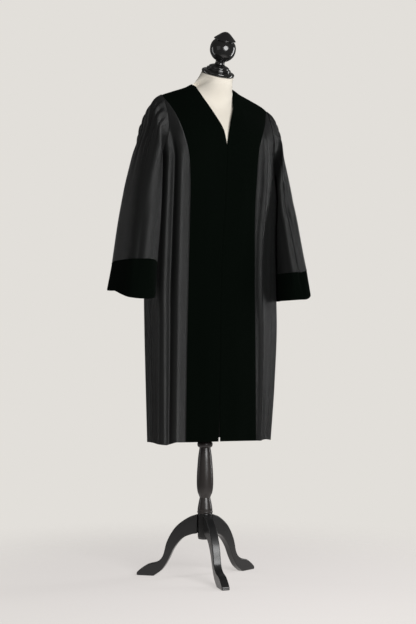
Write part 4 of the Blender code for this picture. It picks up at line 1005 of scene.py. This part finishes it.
# Studio: a pale floor that fades into a warm pale grey backdrop, a large round soft light to
# the right of the camera, and strips behind on both sides that rim the dark cloth.
FLOOR_RADIUS = 3.0
FLOOR_LEVEL = -0.0005
FLOOR_CORNERS = 96
disc = bpy.data.meshes.new("studio_floor")
spin = 2 * np.pi * np.arange(FLOOR_CORNERS) / FLOOR_CORNERS
edge = [(FLOOR_RADIUS * math.cos(a), FLOOR_RADIUS * math.sin(a), FLOOR_LEVEL) for a in spin]
disc.from_pydata(edge, [], [tuple(range(FLOOR_CORNERS))])
floor = linked("studio_floor", disc)
PAPER, nodes, links, shader = principled(
    "studio_paper", (0.42, 0.40, 0.395), 0.9, Specular_IOR_Level=0.0,
    Emission_Color=(0.80, 0.765, 0.74, 1.0), Emission_Strength=0.62,
)
place = nodes.new("ShaderNodeTexCoord")
length = nodes.new("ShaderNodeVectorMath")
length.operation = "LENGTH"
fade = nodes.new("ShaderNodeMapRange")
fade.interpolation_type = "SMOOTHSTEP"
set_inputs(fade, From_Min=0.35, From_Max=1.5)
clear = nodes.new("ShaderNodeBsdfTransparent")
blend = nodes.new("ShaderNodeMixShader")
links.new(place.outputs["Object"], length.inputs[0])
links.new(length.outputs["Value"], fade.inputs["Value"])
links.new(fade.outputs["Result"], blend.inputs["Fac"])
links.new(shader.outputs["BSDF"], blend.inputs[1])
links.new(clear.outputs["BSDF"], blend.inputs[2])
links.new(blend.outputs["Shader"], nodes["Material Output"].inputs["Surface"])
disc.materials.append(PAPER)

world = bpy.data.worlds.new("studio")
bpy.context.scene.world = world
world.use_nodes = True
nodes, links = world.node_tree.nodes, world.node_tree.links
seen = set_inputs(nodes["Background"], Color=(0.761, 0.738, 0.701, 1.0), Strength=1.0)
felt = nodes.new("ShaderNodeBackground")
set_inputs(felt, Color=(1.0, 0.985, 0.96, 1.0), Strength=0.10)
path = nodes.new("ShaderNodeLightPath")
blend = nodes.new("ShaderNodeMixShader")
links.new(path.outputs["Is Camera Ray"], blend.inputs["Fac"])
links.new(felt.outputs["Background"], blend.inputs[1])
links.new(seen.outputs["Background"], blend.inputs[2])
links.new(blend.outputs["Shader"], nodes["World Output"].inputs["Surface"])

CAMERA_TURN = math.radians(30)
CAMERA_DISTANCE = 4.06
CAMERA_HEIGHT = 0.751
PHOTO_HEIGHT = 624
Light = namedtuple("Light", "name degrees_right distance height wide high watts aim_height round")
LIGHTS = [
    Light("key_umbrella", 26, 2.5, 1.45, 1.7, 1.7, 62, 1.15, True),
    Light("rim_right", 112, 2.4, 1.25, 0.40, 2.0, 20, 1.15, False),
    Light("rim_left", -104, 2.4, 1.25, 0.40, 2.0, 6, 1.10, False),
    Light("fill_left", -38, 3.2, 1.60, 1.8, 1.8, 4, 1.10, False),
]
for light in LIGHTS:
    made = bpy.data.lights.new(light.name, "AREA")
    made.shape = "DISK" if light.round else "RECTANGLE"
    made.size = light.wide
    if not light.round:
        made.size_y = light.high
    made.energy = light.watts
    lamp = linked(light.name, made)
    bearing = CAMERA_TURN - math.radians(light.degrees_right)
    spot = np.array([-math.sin(bearing), -math.cos(bearing), 0]) * light.distance
    lamp.location = spot + POLE + np.array([0, 0, light.height])
    drop = math.atan2(light.height - light.aim_height, light.distance)
    lamp.rotation_euler = (math.pi / 2 - drop, 0, -bearing)
    lamp.visible_camera = False

camera = bpy.data.cameras.new("camera")
camera.lens = 70.96
camera.shift_x = 3 / PHOTO_HEIGHT
camera.shift_y = 38 / PHOTO_HEIGHT
viewer = linked("camera", camera)
viewer.location = POLE + np.array([
    -CAMERA_DISTANCE * math.sin(CAMERA_TURN), -CAMERA_DISTANCE * math.cos(CAMERA_TURN), CAMERA_HEIGHT,
])
viewer.rotation_euler = (math.pi / 2, 0, -CAMERA_TURN)
bpy.context.scene.camera = viewer
bpy.context.scene.view_settings.view_transform = "Standard"
